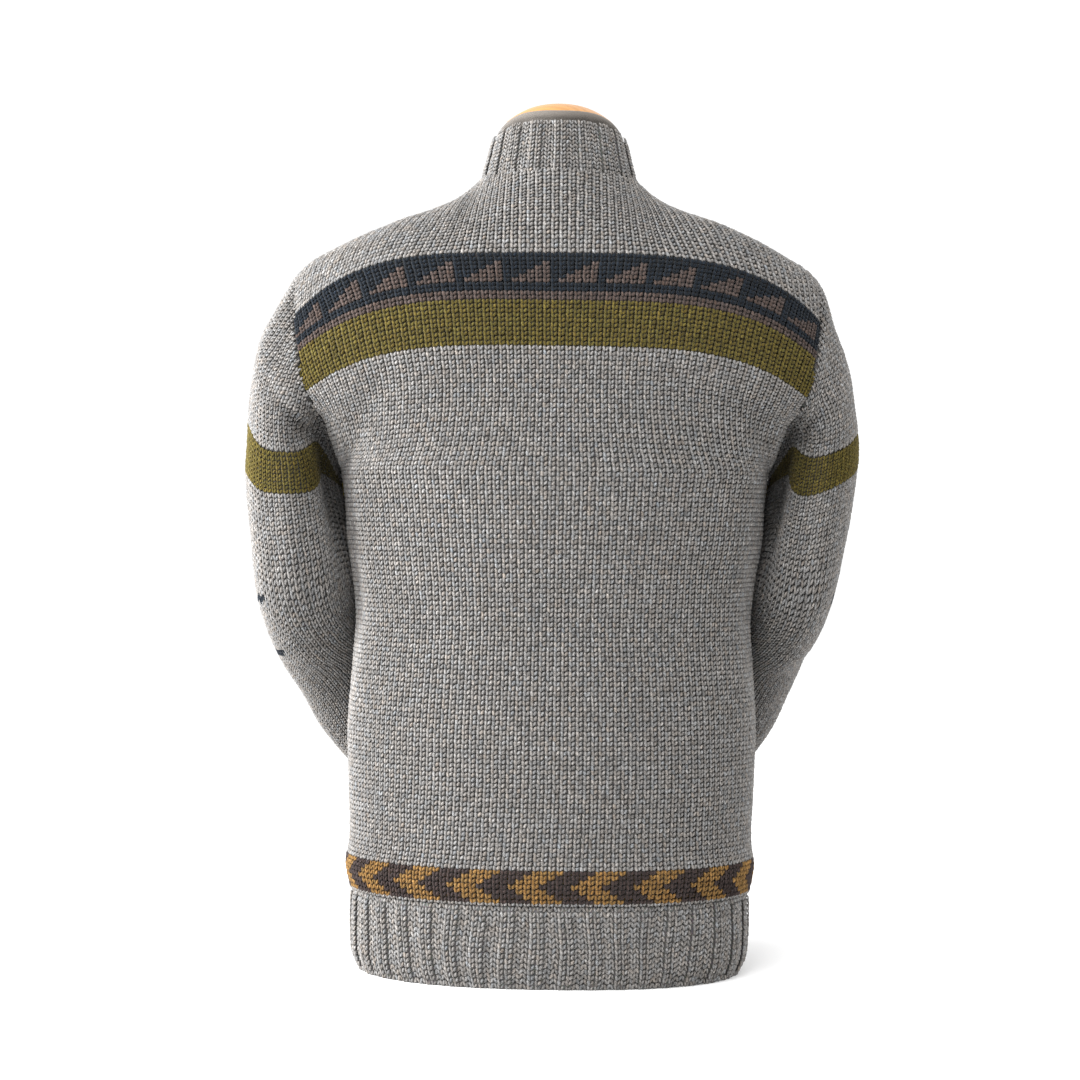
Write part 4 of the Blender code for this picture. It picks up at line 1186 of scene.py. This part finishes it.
class OBJECT_OT_knit_sleeves(bpy.types.Operator):
    """Knit both sleeves with their olive bands, and their ribbed cuffs"""

    bl_idname = "object.knit_sleeves"
    bl_label = "Knit sleeves and cuffs"

    def execute(self, context):
        ring = np.linspace(0, 2 * math.pi, 2 * CUFF_WALES + 1)
        stations = np.linspace(CUFF_END - 0.02, CUFF_START + 0.02, 2 * CUFF_COURSES + 1)
        for side, hand, area in ((-1, "left", 0.118), (1, "right", 0.108)):
            cloth, fine, count = sleeve_lattice(side)
            name = "sleeve_" + hand
            sheet = lay(name, fine[:, ::4], cloth.facing, around=True)
            rows, wales, near = cloth.stitches()
            made = yarn(name + "_stitches", cloth, rows, wales, np.zeros(len(rows), int), -sunken(near),
                        sleeve_dyes(side, cloth, rows, wales, count), 9 + side)

            cuff = Lattice(evened(sleeve(stations, side, ring)), 0, cloth.facing)
            sheet, made = knit_rib("cuff_" + hand, cuff, 20 + side, 0.0022,
                                   lambda lift, rows: lift - 0.0012, round_legs=False)
        return {"FINISHED"}


class OBJECT_OT_knit_collar(bpy.types.Operator):
    """Knit the ribbed collar, and set its jersey lining"""

    bl_idname = "object.knit_collar"
    bl_label = "Knit collar"

    def execute(self, context):
        angle = np.linspace(0, 2 * math.pi, 2 * COLLAR_WALES + 1)
        up = np.linspace(-0.05, 0.985, 2 * COLLAR_COURSES + 1)
        cloth = Lattice(collar_ring(up, angle, 0.0, COLLAR_EDGE), 0, 1)
        sheet, made = knit_rib("collar", cloth, 31, 0.0014, lambda lift, rows: lift - 0.0003)

        angle = np.linspace(0, 2 * math.pi, 145)
        roll = np.array(LINING_ROLL)
        outer = collar_ring(roll[:, 0], angle, roll[:, 1:2], LINING_EDGE)
        inner = collar_ring(roll[:, 0], angle, roll[:, 2:3], LINING_EDGE)
        profile = np.concatenate([outer, inner[::-1]])[:, :-1]
        numbers = np.arange(profile[..., 0].size).reshape(profile.shape[:2])
        after = np.roll(numbers, -1, axis=1)
        above, above_after = np.roll(numbers, -1, axis=0), np.roll(after, -1, axis=0)
        faces = np.stack([numbers, after, above_after, above], axis=-1).reshape(-1, 4)
        jersey = cotton_jersey(tuple(settings().lining))
        band = set_mesh("collar_lining_band", profile.reshape(-1, 3), faces, jersey)
        dress(band, ["collar_lining"])
        return {"FINISHED"}


class OBJECT_OT_finish_form(bpy.types.Operator):
    """Cover the dress form and turn its neck cap"""

    bl_idname = "object.finish_form"
    bl_label = "Finish dress form"

    def execute(self, context):
        cover = bpy.data.objects["form_body"]
        cover.data.materials.clear()
        cover.data.materials.append(calico_cover())
        # the cap's profile: the dome from near its pole to its rim, then its lower edge
        turn = np.linspace(0, 2 * math.pi, 97)[:-1]
        out = np.sin(np.linspace(0, math.pi / 2, 17))[1:, None]
        radius = CAP_RADIUS * np.concatenate([out, [[1.0]], [[0.985]]])
        height = np.concatenate([CAP_HEIGHT * (1 - out**CAP_POWER), [[-0.0006]], [[-0.0012]]])
        height = CAP_BASE + height
        x = radius * np.cos(turn)
        y = radius * np.sin(turn) + CAP_SHIFT
        sides = np.stack([x, y, np.broadcast_to(height, x.shape)], axis=-1)
        rows, columns = x.shape
        numbers = np.arange(rows * columns).reshape(rows, columns)
        after = np.roll(numbers, -1, axis=1)
        a, b, c, d = numbers[1:], after[1:], after[:-1], numbers[:-1]
        bands = np.stack([np.stack([a, b, c], axis=-1), np.stack([a, c, d], axis=-1)], axis=2)
        poles = [[0, CAP_SHIFT, CAP_BASE + CAP_HEIGHT], [0, CAP_SHIFT, height[-1, 0]]]
        top, bottom = rows * columns, rows * columns + 1
        upper = np.stack([numbers[0], after[0], np.full(columns, top)], axis=-1)
        lower = np.stack([after[-1], numbers[-1], np.full(columns, bottom)], axis=-1)
        points = np.concatenate([sides.reshape(-1, 3), poles])
        faces = np.concatenate([bands.reshape(-1, 3), upper, lower])
        cap = set_mesh("neck_cap_turned", points, faces, varnished_pine(tuple(settings().wood)))
        dress(cap, ["form_neck_cap"])
        return {"FINISHED"}


class OBJECT_OT_light_studio(bpy.types.Operator):
    """Lay the white paper sweep, set the softboxes and place the camera"""

    bl_idname = "object.light_studio"
    bl_label = "Light studio"

    def execute(self, context):
        scene = context.scene
        scene.view_settings.view_transform = "Standard"
        world = bpy.data.worlds.new("white_room")
        world.use_nodes = True
        world.node_tree.nodes["Background"].inputs["Color"].default_value = (1, 1, 1, 1)
        world.node_tree.nodes["Background"].inputs["Strength"].default_value = 1.1
        scene.world = world

        # the paper lies half a millimetre under the form's foot
        corners = np.array([(x, y, -0.0005) for x, y in ((-6, -6), (6, -6), (6, 6), (-6, 6))])
        paper = paper_sweep(to_linear("#EEEEEE"))
        set_mesh("studio_floor", corners, np.array([[0, 1, 2, 3]]), paper)

        for name, place, aim, size, power in (
            ("softbox_left", (-2.3, -0.35, 0.9), (0, 0, 0.30), 1.4, settings().key),
            ("softbox_top", (-0.3, -0.9, 1.5), (0, 0, 0.45), 0.8, settings().key * 0.12),
            ("softbox_right", (2.0, 0.9, 1.2), (0, 0, 0.40), 1.0, settings().key * 0.11),
        ):
            lamp = bpy.data.lights.new(name, "AREA")
            lamp.size = size
            lamp.energy = power
            holder = bpy.data.objects.new(name, lamp)
            holder.location = place
            holder.rotation_euler = turned_to(np.array(place) - np.array(aim)).to_euler()
            scene.collection.objects.link(holder)

        camera = bpy.data.cameras.new("view")
        camera.sensor_width = 36.0
        camera.lens = camera.sensor_width * FOCAL_PIXELS / FRAME_PIXELS
        seen = bpy.data.objects.new("view", camera)
        pitch = math.atan(PITCH_PIXELS / FOCAL_PIXELS)
        turn = Matrix.Rotation(math.pi / 2 - pitch, 4, "X") @ Matrix.Rotation(ROLL, 4, "Z")
        seen.matrix_world = Matrix.Translation((CAMERA_X, -settings().away, settings().eye)) @ turn
        scene.collection.objects.link(seen)
        scene.camera = seen
        return {"FINISHED"}


def turned_to(way):
    """Turn of an object whose Z points along this direction."""
    z = unit(way)
    x = unit(np.cross((0, 0, 1), z))
    return Matrix(np.stack([x, np.cross(z, x), z], axis=1))


class VIEW3D_PT_sweater(bpy.types.Panel):
    bl_label = "Sweater"
    bl_space_type = "VIEW_3D"
    bl_region_type = "UI"
    bl_category = "Sweater"

    def draw(self, context):
        for name in SweaterSettings.__annotations__:
            self.layout.prop(context.scene.sweater_settings, name)
        for kind in OPERATORS:
            self.layout.operator(kind.bl_idname)


OPERATORS = (
    OBJECT_OT_knit_panels,
    OBJECT_OT_knit_hem,
    OBJECT_OT_knit_sleeves,
    OBJECT_OT_knit_collar,
    OBJECT_OT_finish_form,
    OBJECT_OT_light_studio,
)
CLASSES = (SweaterSettings, *OPERATORS, VIEW3D_PT_sweater)


def register():
    for kind in CLASSES:
        bpy.utils.register_class(kind)
    bpy.types.Scene.sweater_settings = PointerProperty(type=SweaterSettings)


def unregister():
    del bpy.types.Scene.sweater_settings
    for kind in reversed(CLASSES):
        bpy.utils.unregister_class(kind)


def main():
    register()
    bpy.ops.object.knit_panels()
    bpy.ops.object.knit_hem()
    bpy.ops.object.knit_sleeves()
    bpy.ops.object.knit_collar()
    bpy.ops.object.finish_form()
    bpy.ops.object.light_studio()


if __name__ == "__main__":
    main()
